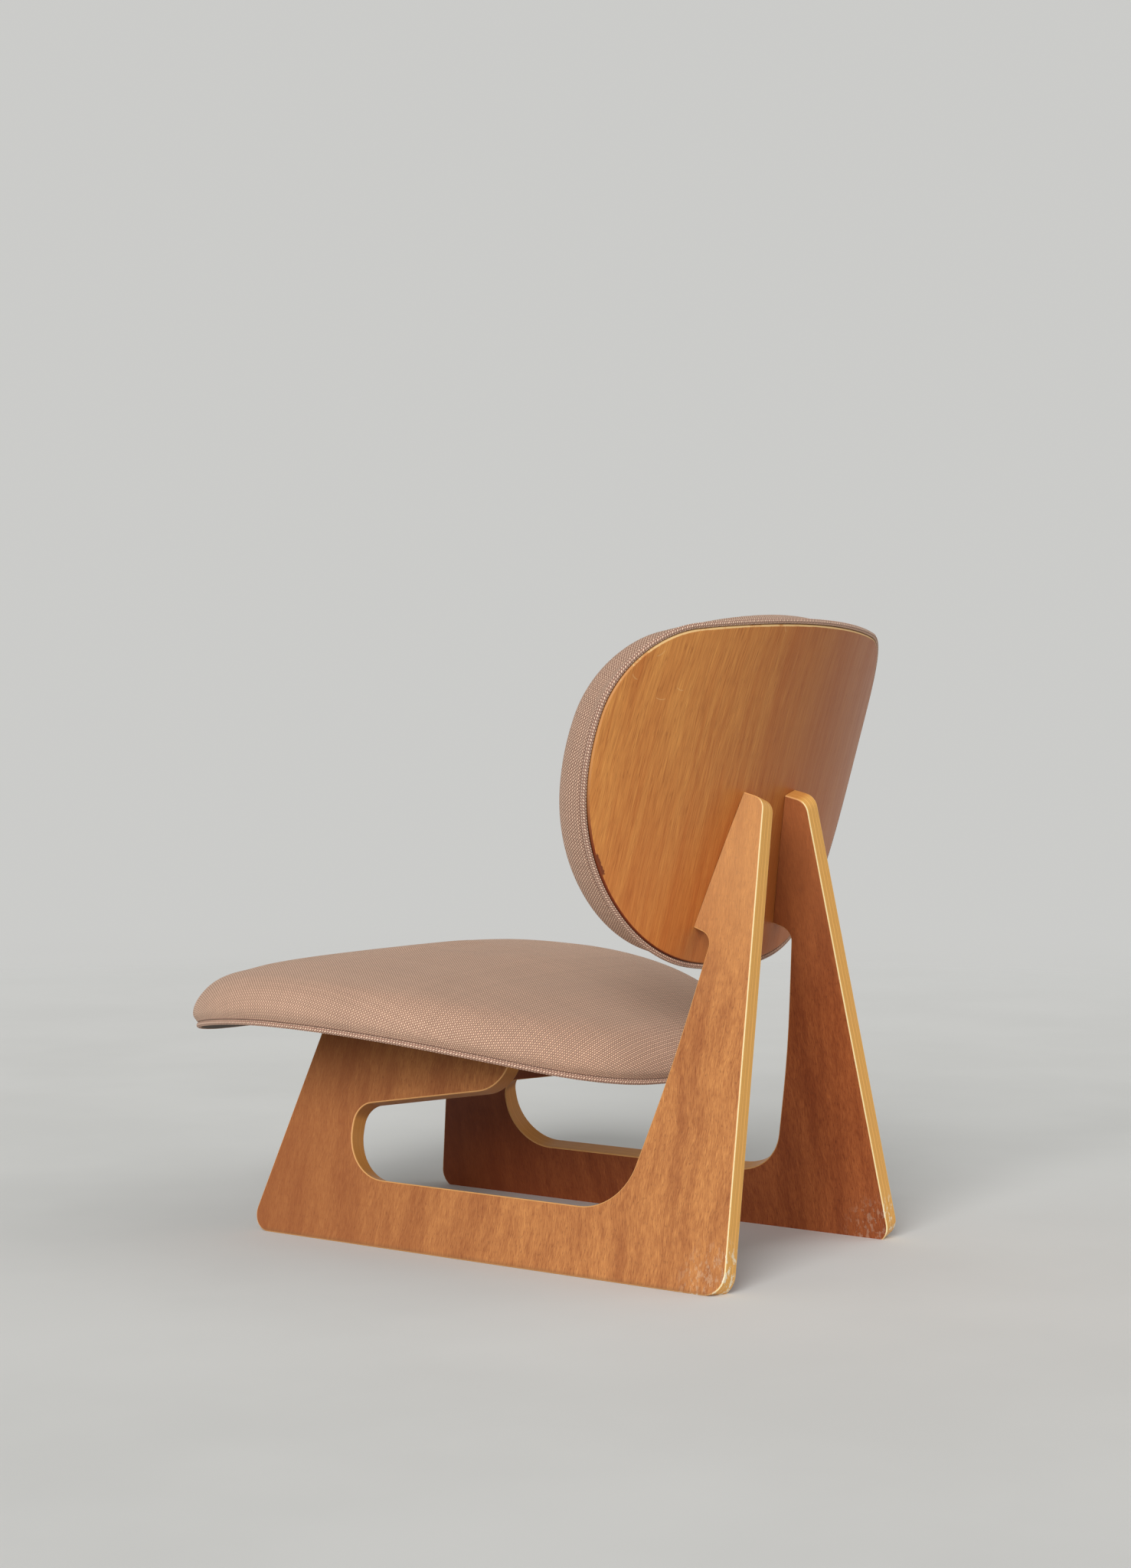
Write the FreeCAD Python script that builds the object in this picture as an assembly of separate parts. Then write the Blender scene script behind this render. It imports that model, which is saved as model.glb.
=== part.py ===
import FreeCAD, Part

import math
import os

# Low chair: two leaning plywood side panels, a padded moulded seat on their arms and a padded
# moulded backrest against their rear legs. Millimetres, +Z up, the sitter looks along -Y,
# +X is the sitter's left. The origin is on the floor, midway between the panels.

V = FreeCAD.Vector

# Side panels
FOOT_SPREAD = 357.0          # outer face to outer face at the floor
PANEL_LEAN = 15.2            # degrees each panel leans inward
PANEL_T = 21.0
PANEL_ARRIS = 1.5            # rounding of the panel's long arrises
FOOT_FRONT_Y = -293.5        # sharp front corner of the foot before rounding
FOOT_LENGTH = 587.0
FOOT_FRONT_R = 20.0
FOOT_REAR_R = 22.0
FRONT_RAKE = 13.8            # degrees, in the sheet
REAR_RAKE = 3.8
LEG_TOP = 488.0              # along the sheet from the floor
LEG_TOP_FRONT_Y = 238.6
LEG_TOP_FALL = 15.0          # degrees that the top edge falls to the rear
LEG_TOP_R = 15.0
RAIL_DEPTH = 68.4
RAIL_LEG_R = 60.0
LEG_BEND_Y = 200.5           # where the leg's front edge bends
LEG_BEND_UP = 210.4
LEG_BEND_R = 1500.0
LEG_LOWER_RAKE = 14.3
LEG_UPPER_RAKE = 10.3
NOTCH_Y = 203.3              # tip of the wedge that bears on the shell
NOTCH_UP = 350.2
NOTCH_FALL = 18.9
NOTCH_R = 14.0
CUTOUT_FRONT_Y = -177.6
CUTOUT_LOW_R = 50.0
CUTOUT_HIGH_R = 22.0
ARM_EDGE_UP = 142.8          # arm's lower edge above the floor line at the cut-out's front
ARM_EDGE_RISE = 9.8
ARM_END_Y = 9.0
ARM_END_R = 40.0

# Seat
SEAT_W = 542.5               # over the piping
SEAT_D = 548.0
SEAT_FRONT_Y = -395.0
SEAT_FRONT_CORNER_R = 185.0
SEAT_REAR_CORNER_R = 186.5
SEAT_CREST_Y = -190.0        # highest line of the moulded underside
SEAT_CREST_Z = 231.0
SEAT_FRONT_BEND_R = 647.0
SEAT_REAR_BEND_R = 1054.0
SEAT_BOARD_T = 9.0
DUST_T = 1.2                 # cloth stretched under the board

# Backrest, placed by one point on the centre line of the shell's rear face
BACK_W = 514.5
BACK_H = 350.0
BACK_RECLINE = 15.5
BACK_REF_Y = 248.2
BACK_REF_Z = 500.0
BACK_BELOW_REF = 209.2       # from that point down to the lower edge
BACK_LOWER_CORNER_R = 201.5
BACK_UPPER_CORNER_R = 102.9
BACK_PLAN_R = 673.0          # rear face, seen from above
BACK_SIDE_R = 2708.0         # rear face, seen from the side
SHELL_T = 3.2
SHELL_EDGE_R = 2.2
BACK_BOARD_T = 6.0
BACK_PAD_W = 528.4           # the pad swells past the shell at the sides and below
BACK_PAD_H = 353.3
BACK_PAD_BELOW_REF = 212.2
BACK_PAD_LOWER_CORNER_R = 188.0
BACK_PAD_UPPER_CORNER_R = 107.0

# Upholstery
PIPING_D = 5.5
COVER_T = 4.0                # cloth and wadding together
BOARD_PLAY = 1.5             # between a board's edge and the cover round it

# Hardware
SCREW_D = 6.0
SCREW_HEAD_D = 11.0
SCREW_HEAD_H = 3.0
SCREW_CLEAR = 0.25           # radial, in the boards
HEAD_SINK = 1.8              # head below the face that it is sunk in
INSERT_D = 10.0
INSERT_L = 20.0
INSERT_SINK = 1.5            # insert below the edge that it is set in
GLUE_LINE = 0.05             # radial, round an insert and in its thread
SEAT_SCREW_Y = (-195.0, -45.0)
SEAT_SCREW_L = 30.0
BACK_SCREW_Z = (375.0, 435.0)
BACK_SCREW_L = 28.0
CLIP_D = 8.0
CLIP_DEPTH = 2.0             # into the shell
CLIP_FLANGE_D = 14.0
CLIP_FLANGE_T = 1.5
CLIP_X = 150.0
CLIP_UP = (-95.0, 0.0, 85.0)

# Fits
SEATED = 0.3                 # between curved faces that bear on each other

# Upholstered forms: (inset from the outline, height over the pad's seat, share of the pad's own
# outline in the board's), then the crown's rings as (share of the outline's size, height); the
# lofts start far under the surface that trims them
SEAT_FORM = [(5.0, -4.0, 1.0), (4.0, 2.0, 1.0), (-3.6, 15.0, 1.0), (-2.4, 26.0, 1.0),
             (5.0, 37.0, 1.0), (16.0, 45.0, 1.0), (34.0, 50.5, 1.0), (62.0, 54.5, 1.0)]
SEAT_CROWN = [(0.6, 58.7), (0.36, 62.3), (0.12, 63.9)]
BACK_FORM = [(-1.5, -4.0, 0.0), (-2.8, 3.0, 0.0), (0.3, 13.0, 0.8), (0.0, 23.0, 1.0),
             (1.2, 34.0, 1.0), (5.5, 39.5, 1.0), (14.0, 43.7, 1.0), (30.0, 46.5, 1.0)]
BACK_CROWN = [(0.6, 49.0), (0.36, 50.8), (0.12, 51.6)]
PAD_ROOT = 90.0
PAD_DEGREE = 3

# Turns of each half outline in degrees: front, front corner, side, rear corner; the rest is the rear
SEAT_TURNS = (9.0, 75.0, 42.0, 44.0)
BACK_TURNS = (7.0, 72.0, 16.0, 75.0)
BACK_PAD_TURNS = (13.6, 66.2, 17.1, 66.0)

BIG = 900.0
BACK_COLUMN_REAR = 40.0
BACK_COLUMN_FRONT = 150.0

LEAN = math.radians(PANEL_LEAN)
RECLINE = math.radians(BACK_RECLINE)
PANEL_OUT = V(math.cos(LEAN), 0, math.sin(LEAN))
PANEL_UP = V(-math.sin(LEAN), 0, math.cos(LEAN))
BACK_O = V(0, BACK_REF_Y, BACK_REF_Z)
BACK_U = V(0, math.sin(RECLINE), math.cos(RECLINE))
BACK_WARD = V(0, math.cos(RECLINE), -math.sin(RECLINE))


def tan(degrees):
    return math.tan(math.radians(degrees))


# Plane outlines made of tangent arcs

def outline_radii(width, depth, r_front, r_rear, turns):
    """The front, side and rear radii that give the width and depth with the two corner radii."""
    h1, h2, h3, h4 = [math.radians(sum(turns[:i])) for i in (1, 2, 3, 4)]
    s1, s2, s3, s4 = [math.sin(h) for h in (h1, h2, h3, h4)]
    c1, c2, c3, c4 = [math.cos(h) for h in (h1, h2, h3, h4)]
    half = width / 2 - r_front * (s2 - s1)
    close = -r_front * (s2 - s1) - r_rear * (s4 - s3)
    deep = depth - r_front * (c1 - c2) - r_rear * (c3 - c4)
    gain = -(1 - c1) * (1 - s2) / s1 + (c2 - c3) + (1 + c4) * (s3 - 1) / s4
    r_side = (deep - (1 - c1) * half / s1 + (1 + c4) * (close - half) / s4) / gain
    r_nose = (half - (1 - s2) * r_side) / s1
    r_tail = ((s3 - 1) * r_side - (close - half)) / s4
    return [r_nose, r_front, r_side, r_rear, r_tail]


def outline_points(radii, turns, start, inset):
    """Points on the closed outline, two to each arc: the arc's own end and its middle."""
    turns = list(turns) + [180.0 - sum(turns)]
    steps = []
    for radius, turn in zip(radii, turns):
        parts = 2 if turn > 50.0 else 1
        steps += [(radius - inset, math.radians(turn / parts))] * parts
    half = [(0.0, start + inset)]
    heading = 0.0
    x, y = half[0]
    for radius, turn in steps:
        for piece in (0.5, 0.5):
            nxt = heading + turn * piece
            x += radius * (math.sin(nxt) - math.sin(heading))
            y -= radius * (math.cos(nxt) - math.cos(heading))
            half.append((x, y))
            heading = nxt
    half[-1] = (0.0, y)
    mirrored = [(-px, py) for px, py in reversed(half[1:-1])]
    return half + mirrored


def ring(points, place):
    """A closed wire of three-point arcs through the outline's points."""
    lifted = [place(x, y) for x, y in points]
    lifted.append(lifted[0])
    arcs = [Part.Arc(lifted[i], lifted[i + 1], lifted[i + 2]).toShape()
            for i in range(0, len(lifted) - 1, 2)]
    return Part.Wire(arcs)


SEAT_RADII = outline_radii(SEAT_W, SEAT_D, SEAT_FRONT_CORNER_R, SEAT_REAR_CORNER_R, SEAT_TURNS)
BACK_RADII = outline_radii(BACK_W, BACK_H, BACK_LOWER_CORNER_R, BACK_UPPER_CORNER_R, BACK_TURNS)
BACK_PAD_RADII = outline_radii(BACK_PAD_W, BACK_PAD_H, BACK_PAD_LOWER_CORNER_R,
                               BACK_PAD_UPPER_CORNER_R, BACK_PAD_TURNS)


def seat_points(inset):
    return outline_points(SEAT_RADII, SEAT_TURNS, SEAT_FRONT_Y, inset)


def back_points(inset):
    return outline_points(BACK_RADII, BACK_TURNS, -BACK_BELOW_REF, inset)


def back_pad_points(inset, share):
    own = outline_points(BACK_PAD_RADII, BACK_PAD_TURNS, -BACK_PAD_BELOW_REF, inset)
    return [(share * a + (1 - share) * c, share * b + (1 - share) * d)
            for (a, b), (c, d) in zip(own, back_points(inset))]


# The seat's moulded surface: two arcs that meet level at the crest

def seat_z(y, height):
    bend = SEAT_FRONT_BEND_R if y < SEAT_CREST_Y else SEAT_REAR_BEND_R
    return SEAT_CREST_Z - bend + math.sqrt((bend + height) ** 2 - (y - SEAT_CREST_Y) ** 2)


def under_seat(height):
    """Everything under the seat's underside raised by height."""
    front, rear = SEAT_CREST_Y - 0.6 * SEAT_FRONT_BEND_R, SEAT_CREST_Y + 0.5 * SEAT_REAR_BEND_R
    knots = [front, (front + SEAT_CREST_Y) / 2, SEAT_CREST_Y, (rear + SEAT_CREST_Y) / 2, rear]
    p = [V(-BIG, y, seat_z(y, height)) for y in knots]
    low = [V(-BIG, rear, -BIG), V(-BIG, front, -BIG)]
    edges = [Part.Arc(p[0], p[1], p[2]).toShape(), Part.Arc(p[2], p[3], p[4]).toShape()]
    edges += [Part.makeLine(p[4], low[0]), Part.makeLine(low[0], low[1]), Part.makeLine(low[1], p[0])]
    return Part.Face(Part.Wire(edges)).extrude(V(2 * BIG, 0, 0))


def seat_column(inset):
    """An upright column on the seat's outline, less an inset."""
    face = Part.Face(ring(seat_points(inset), lambda x, y: V(x, y, 0)))
    return face.extrude(V(0, 0, BIG))


# The backrest's moulded surface: an arc seen from above, turned about a far axis behind it

def back_ward(x, v):
    """Distance backwards of the shell's rear face at x across and v up."""
    w = -BACK_PLAN_R + math.sqrt(BACK_PLAN_R ** 2 - x * x)
    return BACK_SIDE_R - math.sqrt((BACK_SIDE_R - w) ** 2 - v * v)


def back_point(x, v, forward):
    """The rear face's point at x across and v up, moved forward square to the face."""
    across = x / BACK_PLAN_R
    level = math.sqrt(1 - across ** 2)
    swing = math.asin(v / (BACK_SIDE_R + BACK_PLAN_R * (1 - level)))
    radius = BACK_PLAN_R - forward
    arm = BACK_SIDE_R + BACK_PLAN_R - radius * level
    up, ward = arm * math.sin(swing), BACK_SIDE_R - arm * math.cos(swing)
    return BACK_O + V(radius * across, 0, 0) + BACK_U * up + BACK_WARD * ward


def before_back(forward):
    """Everything in front of the shell's rear face, moved forward by a thickness."""
    reach = 0.55 * BACK_PLAN_R
    radius = BACK_PLAN_R - forward
    sag = math.sqrt(radius ** 2 - reach ** 2) - BACK_PLAN_R
    ends = [BACK_O + V(s * reach, 0, 0) + BACK_WARD * sag for s in (-1, 1)]
    crown = BACK_O - BACK_WARD * forward
    far = [e - BACK_WARD * (BIG / 3) for e in ends]
    edges = [Part.Arc(ends[0], crown, ends[1]).toShape(), Part.makeLine(ends[1], far[1])]
    edges += [Part.makeLine(far[1], far[0]), Part.makeLine(far[0], ends[0])]
    face = Part.Face(Part.Wire(edges))
    swing = math.degrees(math.asin(0.85 * BACK_H / BACK_SIDE_R))
    axis = BACK_O + BACK_WARD * BACK_SIDE_R
    face.rotate(axis, V(1, 0, 0), -swing)
    return face.revolve(axis, V(1, 0, 0), 2 * swing)


def back_column(inset):
    """A column on the back's outline, less an inset, whose sides are square to the moulded face."""
    def cast(x, v, ward):
        start, ahead = back_point(x, v, 0.0), back_point(x, v, 1.0)
        reach = (ward - (start - BACK_O).dot(BACK_WARD)) / (ahead - start).dot(BACK_WARD)
        return start + (ahead - start) * reach

    points = back_points(inset)
    ends = [ring(points, lambda x, v: cast(x, v, ward)) for ward in (BACK_COLUMN_REAR, -BACK_COLUMN_FRONT)]
    return Part.makeLoft(ends, True, True)


# Side panel

def rounded_outline(corners):
    """A closed outline of lines and tangent arcs from (y, up, corner radius)."""
    edges = []
    count = len(corners)
    ends = []
    for i, (y, up, radius) in enumerate(corners):
        here = V(y, up, 0)
        before = V(*corners[i - 1][:2], 0) - here
        after = V(*corners[(i + 1) % count][:2], 0) - here
        before.normalize()
        after.normalize()
        if radius == 0.0:
            ends.append((here, None, here))
            continue
        half = before.getAngle(after) / 2
        reach = radius / math.tan(half)
        middle = before + after
        middle.normalize()
        deep = radius / math.sin(half) - radius
        ends.append((here + before * reach, here + middle * deep, here + after * reach))
    for i in range(count):
        start, middle, stop = ends[i]
        if middle is not None:
            edges.append(Part.Arc(start, middle, stop).toShape())
        edges.append(Part.makeLine(stop, ends[(i + 1) % count][0]))
    return Part.Wire(edges)


def panel_corners():
    foot_rear_y = FOOT_FRONT_Y + FOOT_LENGTH
    slope, fall = tan(REAR_RAKE), tan(LEG_TOP_FALL)
    top_line = LEG_TOP + fall * LEG_TOP_FRONT_Y
    top_rear_up = (top_line - fall * foot_rear_y) / (1 - fall * slope)
    top_rear_y = foot_rear_y - slope * top_rear_up
    lead = 30.0
    notch_line = NOTCH_UP + tan(NOTCH_FALL) * NOTCH_Y
    upper = tan(LEG_UPPER_RAKE)
    notch_in_up = (notch_line - tan(NOTCH_FALL) * (LEG_BEND_Y - upper * LEG_BEND_UP))
    notch_in_up /= 1 + tan(NOTCH_FALL) * upper
    notch_in_y = LEG_BEND_Y + upper * (notch_in_up - LEG_BEND_UP)
    rail_leg_y = LEG_BEND_Y - tan(LEG_LOWER_RAKE) * (LEG_BEND_UP - RAIL_DEPTH)
    arm_end_up = ARM_EDGE_UP + tan(ARM_EDGE_RISE) * (ARM_END_Y - CUTOUT_FRONT_Y)
    above = (SEAT_CREST_Z + lead) / math.cos(LEAN)
    return [
        (FOOT_FRONT_Y, 0.0, FOOT_FRONT_R),
        (foot_rear_y, 0.0, FOOT_REAR_R),
        (top_rear_y, top_rear_up, LEG_TOP_R),
        (LEG_TOP_FRONT_Y - lead, LEG_TOP + fall * lead, 0.0),
        (NOTCH_Y - lead, NOTCH_UP + tan(NOTCH_FALL) * lead, 0.0),
        (notch_in_y, notch_in_up, NOTCH_R),
        (LEG_BEND_Y, LEG_BEND_UP, LEG_BEND_R),
        (rail_leg_y, RAIL_DEPTH, RAIL_LEG_R),
        (CUTOUT_FRONT_Y, RAIL_DEPTH, CUTOUT_LOW_R),
        (CUTOUT_FRONT_Y, ARM_EDGE_UP, CUTOUT_HIGH_R),
        (ARM_END_Y, arm_end_up, ARM_END_R),
        (ARM_END_Y, above, 0.0),
        (FOOT_FRONT_Y + tan(FRONT_RAKE) * above, above, 0.0),
    ]


def panel_point(y, up, depth):
    """A point of the left panel: along the sheet, up the sheet and in from its outer face."""
    return V(FOOT_SPREAD / 2, y, 0) + PANEL_UP * up - PANEL_OUT * depth


def mirror(shape):
    return shape.mirror(V(0, 0, 0), V(1, 0, 0))


# Screws and inserts of the left side, as (where the axis leaves the joint face, direction in)

def seat_screw_places():
    places = []
    for y in SEAT_SCREW_Y:
        middle = panel_point(y, 0.0, PANEL_T / 2)
        up = (seat_z(y, 0.0) - middle.z) / PANEL_UP.z
        places.append((middle + PANEL_UP * up, -PANEL_UP))
    return places


def back_screw_places():
    places = []
    for z in BACK_SCREW_Z:
        x = panel_point(0.0, 0.0, PANEL_T / 2).x
        x -= (z - panel_point(0.0, 0.0, PANEL_T / 2).z) * math.tan(LEAN)
        v = (z - BACK_REF_Z) / BACK_U.z
        for _ in range(4):
            v += (z - back_point(x, v, 0.0).z) / BACK_U.z
        places.append((back_point(x, v, 0.0), V(0, 1, 0)))
    return places


def rod(start, along, radius, begin, end):
    return Part.makeCylinder(radius, end - begin, start + along * begin, along)


def screw(start, along, top, length, grow):
    """A countersunk screw whose head's face lies top before the joint face."""
    head = Part.makeCone(SCREW_HEAD_D / 2 + grow, SCREW_D / 2 + grow, SCREW_HEAD_H,
                         start - along * top, along)
    return head.fuse(rod(start, along, SCREW_D / 2 + grow, -top, length - top))


def screw_hole(start, along, top, length):
    """The screw's clearance, open above its head."""
    above = rod(start, along, SCREW_HEAD_D / 2 + SCREW_CLEAR, -top - 2 * HEAD_SINK, -top)
    return screw(start, along, top, length, SCREW_CLEAR).fuse(above)


def insert(start, along):
    outer = rod(start, along, INSERT_D / 2, INSERT_SINK, INSERT_SINK + INSERT_L)
    return outer.cut(rod(start, along, SCREW_D / 2 + GLUE_LINE, 0, 2 * INSERT_L))


def insert_hole(start, along):
    wide = rod(start, along, INSERT_D / 2 + GLUE_LINE, -INSERT_D, INSERT_SINK + INSERT_L)
    return wide.fuse(rod(start, along, SCREW_D / 2 + SCREW_CLEAR, 0, INSERT_L + SCREW_D))


def side_panel():
    flat = Part.Face(rounded_outline(panel_corners()))
    body = flat.extrude(V(0, 0, -PANEL_T))
    rims = [e for e in body.Edges if e.BoundBox.ZLength < 0.001]
    body = body.makeFillet(PANEL_ARRIS, rims)
    body.Placement = FreeCAD.Placement(FreeCAD.Matrix(
        0, PANEL_UP.x, PANEL_OUT.x, FOOT_SPREAD / 2,
        1, 0, 0, 0,
        0, PANEL_UP.z, PANEL_OUT.z, 0,
        0, 0, 0, 1))
    floor = Part.makeBox(2 * BIG, 2 * BIG, BIG, V(-BIG, -BIG, -BIG))
    arm_space = Part.makeBox(2 * BIG, BIG + ARM_END_Y + PANEL_T, BIG, V(-BIG, -BIG, 0))
    seat_space = arm_space.cut(under_seat(-SEATED))
    body = body.cut(floor).cut(seat_space).cut(before_back(-SEATED))
    for start, along in seat_screw_places() + back_screw_places():
        body = body.cut(insert_hole(start, along))
    return body


# Upholstered pads: a smooth loft through rings that bulge, draw in and crown

def pad(points, place, form, crown, shrink):
    """The form's rings, then the crown's, between two flat rings, the lower one far below."""
    rim = points(0.0, 1.0)
    centre = (rim[0][1] + rim[len(rim) // 2][1]) / 2
    top = crown[-1][1]
    lowered = (top - shrink) / top

    def flat_ring(plan, height):
        origin = place(0.0, centre, height)
        across = place(1.0, centre, height) - origin
        along = place(0.0, centre + 1.0, height) - origin
        return ring(plan, lambda x, y: origin + across * x + along * (y - centre))

    def drawn(share):
        return [(share * x, centre + share * (y - centre)) for x, y in points(shrink, 1.0)]

    rings = [flat_ring(points(form[0][0] + shrink, form[0][2]), -PAD_ROOT)]
    for inset, height, share in form:
        plan = points(inset + shrink, share)
        rings.append(ring(plan, lambda x, y: place(x, y, height * lowered)))
    for share, height in crown[:-1]:
        rings.append(ring(drawn(share), lambda x, y: place(x, y, height * lowered)))
    rings.append(flat_ring(drawn(crown[-1][0]), top * lowered))
    return Part.makeLoft(rings, True, False, False, PAD_DEGREE)


def seat_place(x, y, height):
    return V(x, y, seat_z(y, height))


def back_place(x, v, height):
    return back_point(x, v, SHELL_T + height)


# Levels over the seat's underside and forward of the shell's rear face
SEAT_BOARD_LOW = DUST_T + SEATED
SEAT_BOARD_TOP = SEAT_BOARD_LOW + SEAT_BOARD_T
BACK_BOARD_LOW = SHELL_T + SEATED
BACK_BOARD_TOP = BACK_BOARD_LOW + BACK_BOARD_T
SEAT_BOARD_INSET = SEAT_FORM[0][0] + COVER_T + BOARD_PLAY
BACK_BOARD_INSET = PIPING_D + COVER_T + BOARD_PLAY
SEAT_SCREW_TOP = SEAT_BOARD_TOP - HEAD_SINK
BACK_SCREW_TOP = BACK_BOARD_TOP - HEAD_SINK


def seat_layer(low, top, inset):
    return seat_column(inset).common(under_seat(top)).cut(under_seat(low))


def back_layer(low, top, inset):
    return back_column(inset).common(before_back(low)).cut(before_back(top))


def rear_rim(shell):
    """The edges round the shell's rear face."""
    rim = []
    for edge in shell.Edges:
        middle = edge.valueAt((edge.FirstParameter + edge.LastParameter) / 2) - BACK_O
        behind = middle.dot(BACK_WARD) - back_ward(middle.x, middle.dot(BACK_U))
        if abs(behind) < SHELL_T / 100:
            rim.append(edge)
    return rim


def seat_pad(shrink):
    return pad(lambda inset, share: seat_points(inset), seat_place, SEAT_FORM, SEAT_CROWN, shrink)


def back_pad(shrink):
    return pad(back_pad_points, back_place, BACK_FORM, BACK_CROWN, shrink)


def both_sides(places):
    """Each axis on the left, then its mirror image on the right."""
    found = []
    for start, along in places:
        found.append(("left", start, along))
        found.append(("right", V(-start.x, start.y, start.z), V(-along.x, along.y, along.z)))
    return found


def clip_places():
    """The clips' axes: where each meets the shell's front face, and its direction backwards."""
    places = []
    for up in CLIP_UP:
        for x in (CLIP_X, -CLIP_X):
            start = back_point(x, up, SHELL_T)
            backward = V(x, 0, 0) + BACK_WARD * math.sqrt(BACK_PLAN_R ** 2 - x * x)
            backward.normalize()
            places.append((start, backward))
    return places


def clip(start, along, grow):
    front = SEATED + BACK_BOARD_T + SEATED
    stem = rod(start, along, CLIP_D / 2 + grow, -front, CLIP_DEPTH + grow)
    flange = rod(start, along, CLIP_FLANGE_D / 2 + grow, -front - CLIP_FLANGE_T - grow, grow - front)
    return stem.fuse(flange)


def seat_nodes(axes):
    board = seat_layer(SEAT_BOARD_LOW, SEAT_BOARD_TOP, SEAT_BOARD_INSET)
    dust = seat_layer(0.0, DUST_T, PIPING_D + SEATED)
    for side, start, along in axes:
        hole = screw_hole(start, along, SEAT_SCREW_TOP, SEAT_SCREW_L)
        board = board.cut(hole)
        dust = dust.cut(hole)
    below_cover = under_seat(PIPING_D + SEATED)
    return {
        "seat_dust_cover": dust,
        "seat_board": board,
        "seat_piping": seat_layer(0.0, PIPING_D, 0.0).cut(seat_column(PIPING_D)),
        "seat_cover": seat_pad(0.0).cut(below_cover).cut(seat_pad(COVER_T)),
        "seat_foam": seat_pad(COVER_T + SEATED).cut(under_seat(SEAT_BOARD_TOP + SEATED)),
    }


def back_nodes(axes, clips):
    shell = back_layer(0.0, SHELL_T, 0.0)
    shell = shell.Solids[0].makeFillet(min(SHELL_EDGE_R, 0.7 * SHELL_T), rear_rim(shell))
    board = back_layer(BACK_BOARD_LOW, BACK_BOARD_TOP, BACK_BOARD_INSET)
    foam = back_pad(COVER_T + SEATED).common(before_back(BACK_BOARD_TOP + SEATED))
    for side, start, along in axes:
        hole = screw_hole(start, along, BACK_SCREW_TOP, BACK_SCREW_L)
        shell = shell.cut(hole)
        board = board.cut(hole)
    for start, along in clips:
        shell = shell.cut(clip(start, along, GLUE_LINE))
        board = board.cut(clip(start, along, GLUE_LINE))
        foam = foam.cut(clip(start, along, SEATED))
    top = SEATED + PIPING_D
    ring_outer = back_layer(SEATED, top, -SEATED - PIPING_D)
    return {
        "back_shell": shell,
        "back_board": board,
        "back_piping": ring_outer.cut(back_column(-SEATED)),
        "back_cover": back_pad(0.0).common(before_back(top + SEATED)).cut(back_pad(COVER_T)),
        "back_foam": foam,
    }


def fixings(kind, axes, top, length):
    nodes = {}
    for i, (side, start, along) in enumerate(axes):
        tail = "%s_%d" % (side, i // 2 + 1)
        nodes["%s_screw_%s" % (kind, tail)] = screw(start, along, top, length, 0.0)
        nodes["%s_insert_%s" % (kind, tail)] = insert(start, along)
    return nodes


def main():
    left = side_panel()
    nodes = {"side_panel_left": left, "side_panel_right": mirror(left)}
    seat_axes = both_sides(seat_screw_places())
    back_axes = both_sides(back_screw_places())
    clips = clip_places()
    nodes.update(seat_nodes(seat_axes))
    nodes.update(back_nodes(back_axes, clips))
    nodes.update(fixings("seat", seat_axes, SEAT_SCREW_TOP, SEAT_SCREW_L))
    nodes.update(fixings("back", back_axes, BACK_SCREW_TOP, BACK_SCREW_L))
    for i, (start, along) in enumerate(clips):
        nodes["back_clip_%d" % (i + 1)] = clip(start, along, 0.0)

    front = nodes["seat_cover"].optimalBoundingBox(False, False).YMin
    rear = left.optimalBoundingBox(False, False).YMax
    os.makedirs("parts", exist_ok=True)
    for name, shape in nodes.items():
        solid = shape.Solids[0] if len(shape.Solids) == 1 else shape
        solid.translate(V(0, -(front + rear) / 2, 0))
        solid.exportStep("parts/%s.step" % name)
        print(name, len(shape.Solids), len(shape.Faces), round(shape.Volume), shape.isValid())
    print("middle", (front + rear) / 2)


main()
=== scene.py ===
# %% [markdown]
# # A low chair of bent and flat plywood
# The chair is two leaning plywood sides, a padded seat on their arms and a padded back shell
# against their rear legs. The rigid parts come from the CAD model as they are and only get
# finishes here. The two cushions and their pipings are modelled in this file, because cloth
# over foam has a fullness that a solid doesn't show.

# %% Load the chair
import math
from contextlib import contextmanager

import bmesh
import bpy
import numpy as np
from mathutils import Matrix, Vector


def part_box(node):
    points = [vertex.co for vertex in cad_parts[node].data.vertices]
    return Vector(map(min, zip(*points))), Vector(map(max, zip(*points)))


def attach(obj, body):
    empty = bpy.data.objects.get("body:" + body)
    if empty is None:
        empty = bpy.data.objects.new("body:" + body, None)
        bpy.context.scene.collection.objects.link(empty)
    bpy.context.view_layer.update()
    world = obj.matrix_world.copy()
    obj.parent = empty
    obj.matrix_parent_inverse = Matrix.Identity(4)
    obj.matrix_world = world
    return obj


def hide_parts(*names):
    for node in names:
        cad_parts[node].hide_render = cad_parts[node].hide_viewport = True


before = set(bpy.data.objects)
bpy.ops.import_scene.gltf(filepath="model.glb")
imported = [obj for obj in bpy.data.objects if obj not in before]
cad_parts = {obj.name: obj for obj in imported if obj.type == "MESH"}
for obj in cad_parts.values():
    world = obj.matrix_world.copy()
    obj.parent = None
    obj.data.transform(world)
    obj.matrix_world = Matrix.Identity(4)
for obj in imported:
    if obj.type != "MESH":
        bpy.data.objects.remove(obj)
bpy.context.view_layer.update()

# %% [markdown]
# ## Sizes
# Lengths in the drawing are millimetres and Blender's are metres, so every size goes through
# one small function. The drawing's zero lies a little behind the model's, which is centred on
# its own box, so the difference is read from where the seat's piping starts.
# The back has directions of its own: up along its recline, and square to that, forwards.

# %% Sizes that the pieces share
def mm(value):
    return value / 1000.0


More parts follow.
